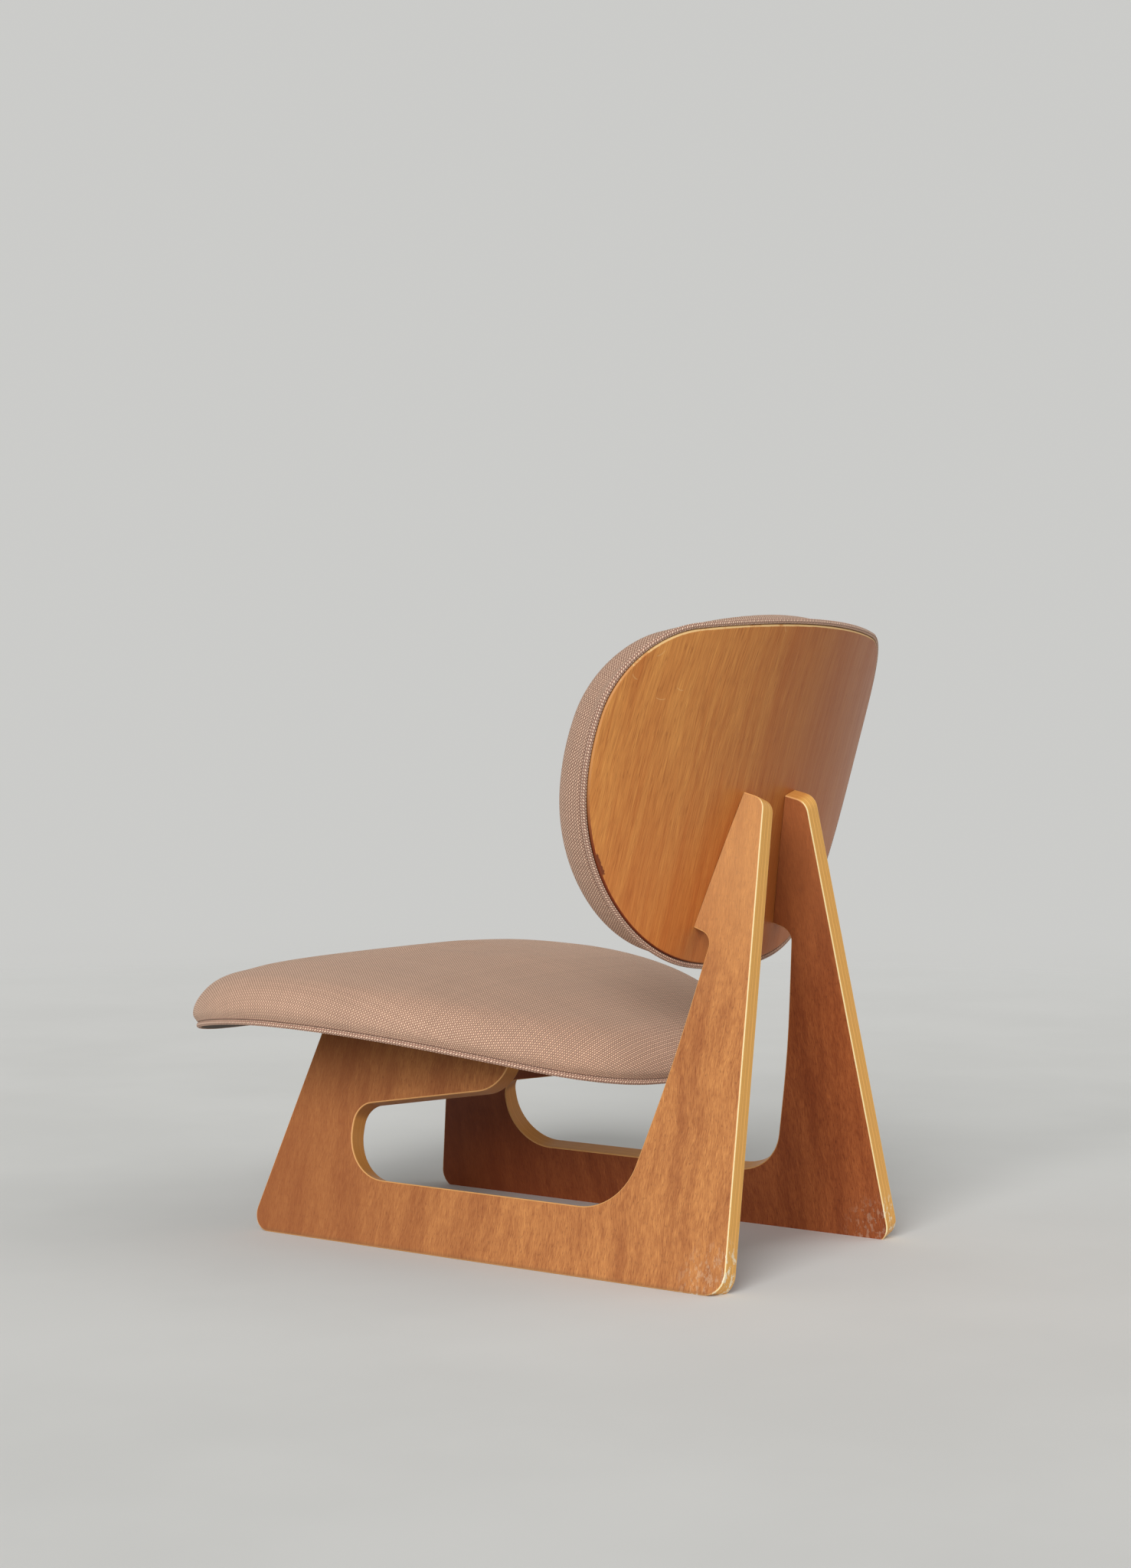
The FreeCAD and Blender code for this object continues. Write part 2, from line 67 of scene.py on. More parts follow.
SEAT_FRONT_Y = -395.0
DRAWING_TO_MODEL_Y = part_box("seat_piping")[0].y - mm(SEAT_FRONT_Y)
FOOT_SPREAD = 357.0
PANEL_LEAN = math.radians(15.2)
BACK_RECLINE = math.radians(15.5)
BACK_REF = (0.0, 248.2, 500.0)
BACK_PLAN_R = 673.0
BACK_SIDE_R = 2708.0
SHELL_T = 3.2
PIPING_D = 5.5
BACK_O = Vector((0.0, mm(BACK_REF[1]) + DRAWING_TO_MODEL_Y, mm(BACK_REF[2])))
BACK_U = Vector((0.0, math.sin(BACK_RECLINE), math.cos(BACK_RECLINE)))
BACK_WARD = Vector((0.0, math.cos(BACK_RECLINE), -math.sin(BACK_RECLINE)))
print("drawing to model, mm:", round(1000 * DRAWING_TO_MODEL_Y, 2))

# %% [markdown]
# ## The camera
# The picture is taken from low behind the chair's left side with a short telephoto lens. The
# direction is given by an azimuth and an elevation, as a photographer would walk round the
# chair, and the small roll is turned in last.

# %% Camera
CAMERA_AT = (2.27407, 1.61168, 0.54233)
AZIMUTH = math.radians(124.586)
ELEVATION = math.radians(1.4233)
ROLL = math.radians(0.1065)
LENS_MM = 60.27


def put(name, data):
    """A new object with this data, in the scene."""
    made = bpy.data.objects.new(name, data)
    bpy.context.scene.collection.objects.link(made)
    return made


def aim_camera():
    ahead = Vector((-math.sin(AZIMUTH) * math.cos(ELEVATION),
                    math.cos(AZIMUTH) * math.cos(ELEVATION), -math.sin(ELEVATION)))
    right = Vector((math.cos(AZIMUTH), math.sin(AZIMUTH), 0.0))
    above = right.cross(ahead)
    rolled_right = right * math.cos(ROLL) + above * math.sin(ROLL)
    rolled_above = above * math.cos(ROLL) - right * math.sin(ROLL)
    turn = Matrix((rolled_right, rolled_above, -ahead)).transposed().to_4x4()
    data = bpy.data.cameras.new("camera")
    data.lens = LENS_MM
    data.sensor_width = 36.0
    camera = put("camera", data)
    camera.matrix_world = Matrix.Translation(CAMERA_AT) @ turn
    return camera


bpy.context.scene.camera = aim_camera()
bpy.context.scene.view_settings.view_transform = "Standard"
print("camera", bpy.context.scene.camera.location)

# %% [markdown]
# ## A small vocabulary for shader nodes
# A finish is a recipe of many small nodes. A Wire is the output of one node. Arithmetic with
# wires adds Math nodes, so a sum in a recipe reads like a sum. Each of the other helpers adds
# a node or two, in the tree that its wires come from; only a first node is told its tree.

# %% Wires
class Wire:
    """An output of a node, to be linked or to be reckoned with."""

    def __init__(self, socket):
        self.socket = socket
        self.tree = socket.id_data

    def __add__(self, other):
        return calc("ADD", self, other)

    def __sub__(self, other):
        return calc("SUBTRACT", self, other)

    def __rsub__(self, other):
        return calc("SUBTRACT", other, self)

    def __mul__(self, other):
        return calc("MULTIPLY", self, other)

    def __truediv__(self, other):
        return calc("DIVIDE", self, other)

    def __abs__(self):
        return calc("ABSOLUTE", self)


def wires(sockets):
    """Sockets as wires, by number and by name."""
    return {key: Wire(socket) for number, socket in enumerate(sockets)
            for key in (number, socket.name)}


def node(kind, inputs=None, tree=None, **settings):
    """Adds a node and returns its outputs. An input that is a wire is linked, others are set."""
    inputs = inputs or {}
    if tree is None:
        tree = next(value.tree for value in inputs.values() if isinstance(value, Wire))
    made = tree.nodes.new("ShaderNode" + kind)
    for name, value in settings.items():
        setattr(made, name, value)
    for key, value in inputs.items():
        if isinstance(value, Wire):
            tree.links.new(value.socket, made.inputs[key])
        else:
            made.inputs[key].default_value = value
    return wires(made.outputs)


def calc(operation, *values, clamp=False):
    return node("Math", dict(enumerate(values)), operation=operation, use_clamp=clamp)[0]


trial = bpy.data.node_groups.new("trial", "ShaderNodeTree")
doubled = node("Value", tree=trial)[0] * 2.0 + 1.0
print("a wire times two plus one takes the nodes", [each.name for each in trial.nodes])
bpy.data.node_groups.remove(trial)

# %% [markdown]
# Most of a recipe is fading and mixing: a span turns a stretch of some value into a smooth step
# from 0 to 1, and a mix lays one colour over another where such a step, or a noise, says so.

# %% Helpers for recipes
def mix(share, low, high, mode="MIX"):
    return node("Mix", {0: share, 6: low, 7: high}, data_type="RGBA", blend_type=mode)[2]


def span(value, low, high, to_low=0.0, to_high=1.0):
    """A smooth step from to_low, where the value is low, to to_high, where it is high."""
    return node("MapRange", {0: value, 1: low, 2: high, 3: to_low, 4: to_high},
                interpolation_type="SMOOTHSTEP")[0]


def noise(vector, stretch, detail=2.0, rough=0.5):
    """Noise with about this many blotches to the unit, each way or one number for all."""
    if isinstance(stretch, float):
        stretch = (stretch,) * 3
    moved = node("VectorMath", {0: vector, 1: stretch}, operation="MULTIPLY")[0]
    return node("TexNoise", {"Vector": moved, "Scale": 1.0, "Detail": detail,
                             "Roughness": rough})[0]


def lot(number):
    """A random value for each whole number."""
    return node("TexWhiteNoise", {"W": calc("FLOOR", number)}, noise_dimensions="1D")["Value"]


def dot(vector, direction):
    return node("VectorMath", {0: vector, 1: direction}, operation="DOT_PRODUCT")["Value"]


def combine(x, y, z):
    return node("CombineXYZ", {0: x, 1: y, 2: z})[0]


def separate(vector):
    parts = node("SeparateXYZ", {0: vector})
    return parts[0], parts[1], parts[2]


def bump(height, distance, strength):
    return node("Bump", {"Height": height, "Distance": distance, "Strength": strength})[0]


def paint(red, green, blue):
    """A colour as read on a screen, 0 to 255, made linear."""
    parts = [c / 255.0 for c in (red, green, blue)]
    return tuple(c / 12.92 if c <= 0.04045 else ((c + 0.055) / 1.055) ** 2.4 for c in parts) + (1,)


print("mid grey on a screen is", round(paint(128, 128, 128)[0], 3), "of the light of white")

# %% [markdown]
# A group is a recipe with named inputs and outputs that several finishes share. A finish keeps
# its own shader: what is the same all over is set on it, and what changes over the surface is
# linked to it.

# %% Groups and finishes
def group(name, inputs, outputs):
    """A new node group; returns it with its inputs as wires."""
    tree = bpy.data.node_groups.new(name, "ShaderNodeTree")
    for way, sockets in (("INPUT", inputs), ("OUTPUT", outputs)):
        for label, kind in sockets.items():
            tree.interface.new_socket(label, in_out=way, socket_type="NodeSocket" + kind)
    return tree, wires(tree.nodes.new("NodeGroupInput").outputs)


def give_out(tree, **outputs):
    end = tree.nodes.new("NodeGroupOutput")
    for label, wire in outputs.items():
        tree.links.new(wire.socket, end.inputs[label])
    print("group", tree.name, "of", len(tree.nodes), "nodes gives out", list(outputs))


def use(shared, **inputs):
    """Places a group in a finish."""
    return node("Group", inputs, node_tree=shared)


def finish_of(name, **fixed):
    """A new material and its tree; fixed values are set on the shader itself."""
    material = bpy.data.materials.new(name)
    material.use_nodes = True
    shader = material.node_tree.nodes["Principled BSDF"].inputs
    for label, value in fixed.items():
        shader[label.replace("_", " ")].default_value = value
    return material, material.node_tree


def link(tree, **pairs):
    """Links wires to the Principled shader's inputs."""
    shader = tree.nodes["Principled BSDF"].inputs
    for label, wire in pairs.items():
        tree.links.new(wire.socket, shader[label.replace("_", " ")])


def dress(names, material):
    """Gives one material to CAD nodes."""
    for name in names:
        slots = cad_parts[name].data.materials
        slots.clear()
        slots.append(material)
    print(material.name, "on", len(names), "pieces")


trial = finish_of("trial")[0]
print("a new finish holds the nodes", [each.name for each in trial.node_tree.nodes])
bpy.data.materials.remove(trial)

# %% [markdown]
# ## Floor and light
# The floor is a wide pale disc that fades away towards its rim into an equally pale surrounding,
# so that there is no horizon from any side.

# %% Floor
FLOOR_R = 7.0
FLOOR_PAINTS = [(0.74, 0.74, 0.72, 1.0), (0.78, 0.78, 0.76, 1.0)]


def mesh_from(name, bm):
    mesh = bpy.data.meshes.new(name)
    bm.to_mesh(mesh)
    bm.free()
    return mesh


def lay_floor():
    bm = bmesh.new()
    bmesh.ops.create_circle(bm, cap_ends=True, segments=96, radius=FLOOR_R)
    floor = put("floor", mesh_from("floor", bm))
    material, tree = finish_of("floor_paint", Roughness=0.9, IOR=1.2)
    place = node("TexCoord", tree=tree)["Object"]
    far = node("VectorMath", {0: place}, operation="LENGTH")["Value"]
    cloud = span(noise(place, 2.5, 4.0), 0.3, 0.7)
    link(tree, Base_Color=mix(cloud, *FLOOR_PAINTS),
         Alpha=span(far, 0.15 * FLOOR_R, 0.6 * FLOOR_R, 1.0, 0.0))
    floor.data.materials.append(material)


lay_floor()
print("floor with a radius of", FLOOR_R, "m")

# %% [markdown]
# Two distant lamps light the chair: a sun with a very wide disc has the soft shadows of a large
# studio lamp, but falls evenly on the whole floor. The key comes low from the side that the
# camera sees, so the cushions' walls are brighter than their tops. With the sky's even light
# the lamps add up to a plain level at which a colour looks as it is written.

# %% Sky and lamps
PALE = (0.60, 0.60, 0.585, 1.0)
SKY_LIGHT = 0.52
LAMPS = {"key": ((2.6, 0.75, 1.35), 34.0, 2.45),     # comes from, degrees wide, strength
         "fill": ((-0.9, 2.2, 1.3), 60.0, 0.55)}


def light_world():
    """The sky lights weakly, and is pale where the camera, a mirror or glass sees it."""
    world = bpy.data.worlds.new("studio")
    bpy.context.scene.world = world
    world.use_nodes = True
    rays = node("LightPath", tree=world.node_tree)
    seen = calc("MAXIMUM", rays["Is Camera Ray"], rays["Is Transmission Ray"])
    seen = calc("MAXIMUM", seen, rays["Is Glossy Ray"])
    sky = world.node_tree.nodes["Background"]
    sky.inputs["Color"].default_value = PALE
    world.node_tree.links.new(span(seen, 0.0, 1.0, SKY_LIGHT, 1.0).socket, sky.inputs["Strength"])


def hang_sun(name, comes_from, wide_degrees, strength):
    data = bpy.data.lights.new(name, "SUN")
    data.angle = math.radians(wide_degrees)
    data.energy = strength
    put(name, data).rotation_euler = Vector(comes_from).to_track_quat("Z", "Y").to_euler()


light_world()
for lamp, (comes_from, wide_degrees, strength) in LAMPS.items():
    hang_sun(lamp, comes_from, wide_degrees, strength)
print("sky and", len(bpy.data.lights), "lamps")

# %% [markdown]
# ## Wood
# Both sides and the back shell are veneered plywood with a clear satin lacquer. Veneer shows
# three scales at once: bands tens of millimetres wide, streaks of about a millimetre and short
# dark pores. Stretching plain noise along the grain gives each of them. The group takes a
# position whose second part runs along the grain, in metres, so one recipe serves all sheets.

# %% Wood grain
WIDE_BANDS = (26.0, 1.4, 5.0)      # blotches to the metre across the grain, along it and inward
NARROW_BANDS = (95.0, 4.5, 9.0)
FLECKS = (520.0, 26.0, 20.0)
FIBRES = (1100.0, 34.0, 30.0)
PORE_DASHES = (900.0, 70.0, 60.0)


def make_wood_grain():
    tree, ins = group(
        "wood_grain", dict(Vector="Vector", Honey="Color", Brown="Color", Pore="Color",
                           Bands="Float", Streaks="Float", Pores="Float"),
        dict(Color="Color", Height="Float", Dull="Float"))
    across, along, inward = separate(ins["Vector"])
    sway = noise(ins["Vector"], 4.0) * 0.016 - 0.008
    swayed = combine(across + sway, along, inward)
    narrow = noise(swayed, NARROW_BANDS, 4.0, 0.62)
    bands = span(noise(swayed, WIDE_BANDS) * 0.5 + narrow * 0.5, 0.36, 0.66) * ins["Bands"]
    grainy = noise(swayed, FLECKS, 3.0, 0.65) * 0.75 + noise(swayed, FIBRES, 2.0, 0.6) * 0.95
    streaks = (grainy - 0.85) * ins["Streaks"]
    dashes = span(noise(swayed, PORE_DASHES, 1.0, 0.4), 0.62, 0.72)
    pores = dashes * ins["Pores"]
    redness, rest = streaks + 1.0, streaks * 1.35 + 1.0
    colour = mix(bands, ins["Honey"], ins["Brown"])
    colour = mix(1.0, colour, combine(redness, rest, rest), "MULTIPLY")
    colour = mix(pores, colour, ins["Pore"])
    give_out(tree, Color=colour, Height=grainy * 0.35 - dashes, Dull=narrow * 0.16 + pores * 0.15)
    return tree


WOOD_GRAIN = make_wood_grain()

# %% [markdown]
# Where a sheet is cut, its plies show as stripes: plies whose grain runs along the edge are
# pale and smooth, those cut across are browner, and a thin dark glue line lies between them.
# Counting how many plies deep a point lies gives each stripe its own tint.

# %% Ply edge
def make_ply_edge():
    tree, ins = group("ply_edge", dict(Depth="Float", Along="Vector", Ply="Float", Pale="Color",
                                       Tan="Color", Glue="Color"),
                      dict(Color="Color", Height="Float"))
    count = ins["Depth"] / ins["Ply"]
    crosswise = calc("MODULO", calc("FLOOR", count), 2.0)
    fibre = noise(ins["Along"], 260.0, 3.0, 0.6)
    tan = calc("ADD", lot(count) * 0.35 + crosswise * 0.5, fibre * 0.5 - 0.25, clamp=True)
    inside = calc("FRACT", count)
    glue = span(calc("MINIMUM", inside, 1.0 - inside), 0.03, 0.12, 1.0, 0.0)
    colour = mix(tan, ins["Pale"], ins["Tan"])
    colour = mix(glue * 0.55, colour, ins["Glue"])
    give_out(tree, Color=colour, Height=fibre - glue)
    return tree


PLY_EDGE = make_ply_edge()

# %% [markdown]
# An arris is where the lacquer wears through first. The group turns a mask of the rounded
# arrises into broken wear: noise eats into the mask, so that the pale line comes and goes.

# %% Edge wear
def make_edge_wear():
    tree, ins = group("edge_wear", dict(Vector="Vector", Mask="Float", Amount="Float"),
                      dict(Worn="Float", Nick="Float"))
    patchy = noise(ins["Vector"], 38.0, 4.0, 0.6)
    fine = noise(ins["Vector"], 420.0, 2.0, 0.6)
    low = 0.72 - ins["Amount"] * 0.5
    give_out(tree, Worn=span(patchy * 0.7 + fine * 0.3, low, low + 0.12) * ins["Mask"],
             Nick=span(fine, 0.64, 0.7) * ins["Mask"])
    return tree


EDGE_WEAR = make_edge_wear()

# %% [markdown]
# ## The side panels
# Each side is one flat sheet, 21 mm thick, that leans inward. The grain runs straight up the
# sheet. The material folds both sides onto one by taking the distance from the middle, then
# turns the position into three lengths: along the floor, up the sheet and into the sheet. The
# normal tells the veneered faces from the cut edges and from the rounded arrises between them.

# %% The panel's two surfaces
PLY_T = 3.0
PANEL_SHORTER = 3.0       # the panels' flecks are a third as long as the shell's
# The inner face is redder veneer, and this same tint also darkens it as painted shade.
INNER_RED_AND_SHADE = (0.68, 0.46, 0.42, 1.0)


def panel_veneer(y, up, side, facing):
    """Grain up the sheet, painted shade towards the front, paler up the leg, and on the inner
    face redder veneer, darkened as painted shade.
    """
    grain = use(WOOD_GRAIN, Vector=combine(y + side * 0.9, up * PANEL_SHORTER, side * 2.0),
                Honey=paint(193, 129, 75), Brown=paint(148, 85, 48), Pore=paint(98, 52, 28),
                Bands=0.72, Streaks=1.0, Pores=0.4)
    # Painted shade: the sheet darkens towards the front, under the seat's overhang.
    colour = mix(span(y, -0.3, 0.2, 0.72, 0.0), grain["Color"], paint(140, 78, 42))
    colour = mix(span(up, 0.24, 0.44, 0.0, 0.5), colour, paint(214, 162, 106))
    # Redder veneer and painted shade on the inner face.
    inner = calc("LESS_THAN", facing, 0.0)
    return mix(inner, colour, mix(1.0, colour, INNER_RED_AND_SHADE, "MULTIPLY")), grain


def panel_cut(y, up, depth, nz, rear):
    """Stripes of plies, dulled by lacquer and dirt, darker underneath, partly as patina and
    partly as painted shade, and clean at the rear.
    """
    edge = use(PLY_EDGE, Depth=depth, Along=combine(y, up, depth * 6.0), Ply=mm(PLY_T),
               Pale=paint(240, 180, 94), Tan=paint(222, 162, 80), Glue=paint(158, 114, 56))
    colour = mix(0.7, edge["Color"], paint(202, 132, 68))
    # Edges that look down are darker: partly patina, partly painted shade.
    colour = mix(span(nz, -0.5, -0.1, 0.6, 0.0), colour, paint(136, 80, 44))
    return mix(rear, colour, edge["Color"]), edge


print("plies of", PLY_T, "mm")

# %% [markdown]
# The finish finds where a point lies on the sheet, lays the two surfaces side by side, and then
# adds what use has done: pale worn arrises with nicks, splinters at the rear of the foot and a
# scuffed line along the floor.

# %% Panel finish
FACE_FROM = 0.985                    # how squarely a normal looks out on a veneered face
REAR_FOOT = (0.0, 0.335, 0.012)      # metres along the floor and up the sheet


def make_panel_finish():
    material, tree = finish_of("panel_plywood", IOR=1.45, Specular_IOR_Level=0.25)
    coords = node("TexCoord", tree=tree)
    x, y, z = separate(coords["Object"])
    nx, ny, nz = separate(coords["Normal"])
    upright, sideways = math.cos(PANEL_LEAN), math.sin(PANEL_LEAN)
    side = calc("SIGN", x)
    out = abs(x) - mm(FOOT_SPREAD) / 2
    up = z * upright - out * sideways
    depth = (out * upright + z * sideways) * -1.0
    facing = nx * side * upright + nz * sideways
    face = calc("GREATER_THAN", abs(facing), FACE_FROM)
    arris = span(abs(facing), 0.2, 0.4) * span(abs(facing), 0.95, FACE_FROM, 1.0, 0.0)
    rear = span(ny, 0.2, 0.7) * span(y, 0.08, 0.16)
    veneer, grain = panel_veneer(y, up, side, facing)
    cut, edge = panel_cut(y, up, depth, nz, rear)
    wear = use(EDGE_WEAR, Vector=coords["Object"], Mask=arris, Amount=rear * 0.85 + 0.1)
    to_foot = node("VectorMath", {0: combine(0.0, y, up), 1: REAR_FOOT},
                   operation="DISTANCE")["Value"]
    splinters = span(noise(coords["Object"], (210.0, 210.0, 120.0), 4.0, 0.65), 0.52, 0.6)
    knocked = span(to_foot, 0.018, 0.05, 1.0, 0.0) * splinters * (1.0 - face * 0.85)
    colour = mix(face, cut, veneer)
    colour = mix(arris * 0.65, colour, paint(226, 174, 116))
    colour = mix(wear["Worn"], colour, paint(243, 224, 172))
    colour = mix(wear["Nick"] * 0.3, colour, paint(120, 76, 44))
    colour = mix(knocked, colour, paint(238, 226, 198))
    colour = mix(span(up, 0.0, 0.006, 0.5, 0.0), colour, paint(130, 92, 58))
    height = mix(face, edge["Height"], grain["Height"])
    link(tree, Base_Color=colour, Roughness=grain["Dull"] + (wear["Worn"] * 0.2 + 0.34),
         Normal=bump(height, 0.0001, 0.5))
    return material


dress(["side_panel_left", "side_panel_right"], make_panel_finish())

# %% [markdown]
# ## The back shell
# The shell is a thin sheet moulded in a press, with its show face behind. Its grain follows
# the recline. The direction from the centre of the bend tells the show face from the rounded
# rim, which is worn pale along the top. A few fine scratches and one chip in the rim are short
# strokes: how far a point lies along a line and beside it makes the mask.

# %% Strokes on the shell
SCRATCHES = [((0.236, 0.076), (0.229, 0.071)), ((0.215, 0.095), (0.207, 0.102)),
             ((0.182, 0.068), (0.173, 0.066)), ((0.204, 0.056), (0.192, 0.056)),
             ((0.054, 0.140), (0.050, 0.132))]      # ends, metres across and up from BACK_O
CHIP = [((0.230, -0.098), (0.216, -0.119))]


def strokes(x, y, ends, half_width, bow):
    """A mask of short strokes, each given by its two ends; bow bends them."""
    most = None
    for (x0, y0), (x1, y1) in ends:
        length = math.hypot(x1 - x0, y1 - y0)
        along_x, along_y = (x1 - x0) / length, (y1 - y0) / length
        along = (x - x0) * along_x + (y - y0) * along_y
        across = (y - y0) * along_x - (x - x0) * along_y
        beside = abs(across - calc("SINE", along * (math.pi / length)) * bow)
        beyond = abs(along - length / 2)
        one = (span(beside, half_width * 0.4, half_width, 1.0, 0.0)
               * span(beyond, length * 0.4, length / 2, 1.0, 0.0))
        most = one if most is None else calc("MAXIMUM", most, one)
    return most


print("strokes:", len(SCRATCHES), "scratches and", len(CHIP), "chip")

# %% [markdown]
# A wide fade across the shell to brown is painted shade, darker on the side turned away from
# the light, and a fade up the shell gives its low part a deeper orange. The rim is darker low
# on the left, partly as the shell's raw edge and partly as painted shade beside the piping. The
# rim's wear is broken low down and nearly whole along the top, and noise tears the chip's
# outline.

# %% Shell finish
def make_shell_finish():
    material, tree = finish_of("shell_veneer", IOR=1.45, Specular_IOR_Level=0.2)
    coords = node("TexCoord", tree=tree)
    place = node("VectorMath", {0: coords["Object"], 1: BACK_O}, operation="SUBTRACT")[0]
    x, up = separate(place)[0], dot(place, BACK_U)
    ward = dot(place, BACK_WARD) + mm(BACK_PLAN_R)
    square = node("VectorMath", {0: combine(x, ward, 0.0)}, operation="NORMALIZE")[0]
    sx, sw, _ = separate(square)
    facing = sx * separate(coords["Normal"])[0] + sw * dot(coords["Normal"], BACK_WARD)
    rim = 1.0 - span(abs(facing), 0.93, 0.97)
    sheet = combine(up * 0.035 + x, up, 4.0)
    grain = use(WOOD_GRAIN, Vector=sheet, Honey=paint(212, 144, 76), Brown=paint(182, 104, 50),
                Pore=paint(134, 72, 32), Bands=0.8, Streaks=0.85, Pores=0.35)
    wear = use(EDGE_WEAR, Vector=coords["Object"], Mask=rim,
               Amount=span(up, 0.02, 0.12, 0.1, 0.72))
    low_left_edge_shade = span(x, 0.0, 0.12) * span(up, -0.1, 0.0, 1.0, 0.0)
    torn = noise(sheet, (300.0, 300.0, 1.0), 3.0, 0.6) * 0.005 - 0.0035
    chipped = strokes(x + torn, up, CHIP, 0.0024, 0.0)
    scratched = strokes(x, up, SCRATCHES, 0.0006, 0.0012)
    # Painted shade: the shell darkens to brown towards the side away from the light.
    colour = mix(span(x, -0.1, 0.22, 0.68, 0.0), grain["Color"], paint(150, 80, 36))
    colour = mix(span(up, -0.2, 0.05, 0.3, 0.0), colour, paint(216, 126, 64))
    # Low on the left the rim is dark: partly the shell's raw edge, partly painted shade.
    colour = mix(rim, colour, mix(low_left_edge_shade, paint(208, 146, 88), paint(124, 56, 30)))
    colour = mix(wear["Worn"], colour, paint(230, 192, 134))
    colour = mix(chipped, colour, paint(122, 62, 36))
    colour = mix(scratched * 0.3, colour, paint(240, 200, 140))
    link(tree, Base_Color=colour, Roughness=grain["Dull"] + (wear["Worn"] * 0.2 + 0.3),
         Normal=bump(grain["Height"], 0.00008, 0.5))
    return material


dress(["back_shell"], make_shell_finish())

# %% [markdown]
# ## Hidden boards, dust cloth and hardware
# The boards under the foam are plain birch plywood. A dark cloth is stretched under the seat.
# Screws are zinc plated, the inserts that they turn into are brass, and the clips that hold the
# back's inner board are moulded plastic.

# %% Boards, dust cloth and hardware finishes
def make_board_finish():
    material, tree = finish_of("board_birch", IOR=1.45)
    x, y, z = separate(node("TexCoord", tree=tree)["Object"])
    grain = use(WOOD_GRAIN, Vector=combine(x, y + z, 7.0), Honey=paint(222, 188, 140),
                Brown=paint(198, 156, 104), Pore=paint(150, 106, 66), Bands=0.6, Streaks=0.3,
                Pores=0.2)
    link(tree, Base_Color=grain["Color"], Roughness=grain["Dull"] + 0.5,
         Normal=bump(grain["Height"], 0.00008, 0.5))
    return material


def make_speckled(name, dark, light, size, rough, depth, **fixed):
    """A plain finish with fine speckle: plating, brass, moulded plastic and dust cloth."""
    material, tree = finish_of(name, **fixed)
    speckle = noise(node("TexCoord", tree=tree)["Object"], size, 3.0, 0.6)
    link(tree, Base_Color=mix(speckle, dark, light), Roughness=speckle * 0.15 + rough,
         Normal=bump(speckle, depth, 0.4))
    return material


def nodes_with(part):
    return [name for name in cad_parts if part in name]


dress(["seat_board", "back_board"], make_board_finish())
dress(["seat_dust_cover"], make_speckled(
    "dust_cloth", paint(66, 54, 45), paint(92, 77, 65), 1400.0, 0.85, 0.0001))
dress(nodes_with("_screw_"), make_speckled(
    "screw_zinc", paint(168, 170, 172), paint(204, 206, 208), 900.0, 0.28, 0.00002, Metallic=1.0))
dress(nodes_with("_insert_"), make_speckled(
    "insert_brass", paint(176, 140, 70), paint(214, 180, 106), 900.0, 0.32, 0.00002, Metallic=1.0))
dress(nodes_with("_clip_"), make_speckled(
    "clip_plastic", paint(226, 224, 216), paint(238, 236, 228), 600.0, 0.42, 0.00003))

# %% [markdown]
# ## Weave
# The upholstery is a plain weave of thick threads: pale peach threads one way and brown ones
# the other, about 1.65 mm apart, so that pale beads stand in a chequer. A plain weave needs no
# picture: two sine waves give each thread its round back, and their product tells which
# thread is on top. The group takes a position counted in threads.

# %% Weave
def make_weave():
    tree, ins = group("weave", dict(Vector="Vector", Light="Color", Dark="Color", Gap="Color",
                                    Unevenness="Float"), dict(Color="Color", Height="Float"))
    place = ins["Vector"]
    u, v, _ = separate(place)
    wander = noise(place, 0.35) * 0.24 - 0.12
    u, v = u + wander, v - wander
    back_u, back_v = calc("SINE", u * math.pi), calc("SINE", v * math.pi)
    over = back_u * back_v
    warp = abs(back_u) * (over * 0.5 + 0.5)
    weft = abs(back_v) * (over * -0.5 + 0.5)
    height = calc("MAXIMUM", warp, weft)
    every_second = calc("FLOORED_MODULO", calc("FLOOR", v), 2.0)
    fuzz = noise(place, 5.0, 2.0, 0.7)
    blotch = noise(place, 0.02, 3.0, 0.6)
    shade = (lot(u) + lot(v) - 1.0) * 0.35 + (fuzz - 0.5) + (blotch - 0.5) * 0.8
    light = mix(1.0, ins["Light"], every_second * -0.26 + 1.12, "MULTIPLY")
    colour = mix(span(weft - warp, -0.06, 0.06), ins["Dark"], light)
    # Painted shade: the low places between the threads take the gap colour.
    colour = mix(span(height, 0.12, 0.5, 1.0, 0.0), colour, ins["Gap"])
    colour = mix(1.0, colour, shade * ins["Unevenness"] + 1.0, "MULTIPLY")
    give_out(tree, Color=colour, Height=fuzz * 0.15 + height)
    return tree


WEAVE = make_weave()
UNEVENNESS = 0.22
CLOTH_MAP = "cloth"


def weave_on(tree, map_name, turn, pitch, light, dark, gap):
    """The weave laid on one of the piece's maps, whose unit is a metre of cloth."""
    flat = node("UVMap", tree=tree, uv_map=map_name)[0]
    laid = node("Mapping", {"Vector": flat, "Rotation": (0.0, 0.0, turn),
                            "Scale": (1 / mm(pitch),) * 3})[0]
    # The gap colour is painted shade between the threads.
    return use(WEAVE, Vector=laid, Light=light, Dark=dark, Gap=gap, Unevenness=UNEVENNESS)


def make_cloth_finish(name):
    return finish_of(name, Roughness=0.86, Sheen_Weight=0.25, Sheen_Roughness=0.45,
                     Sheen_Tint=paint(236, 212, 192))


# %% [markdown]
# Piping cloth is cut on the bias, so its threads run at 45 degrees to the cord. Stretched round
# the cord, its weave is wider than on the cushions.

# %% Piping cloth
CORD_THREAD = 2.05


def make_cord_finish():
    material, tree = make_cloth_finish("piping_cloth")
    # The last colour is painted shade between the threads.
    woven = weave_on(tree, CLOTH_MAP, math.radians(45.0), CORD_THREAD, paint(232, 198, 172),
                     paint(160, 116, 98), paint(92, 60, 50))
    link(tree, Base_Color=woven["Color"], Normal=bump(woven["Height"], 0.0006, 0.8))
    return material


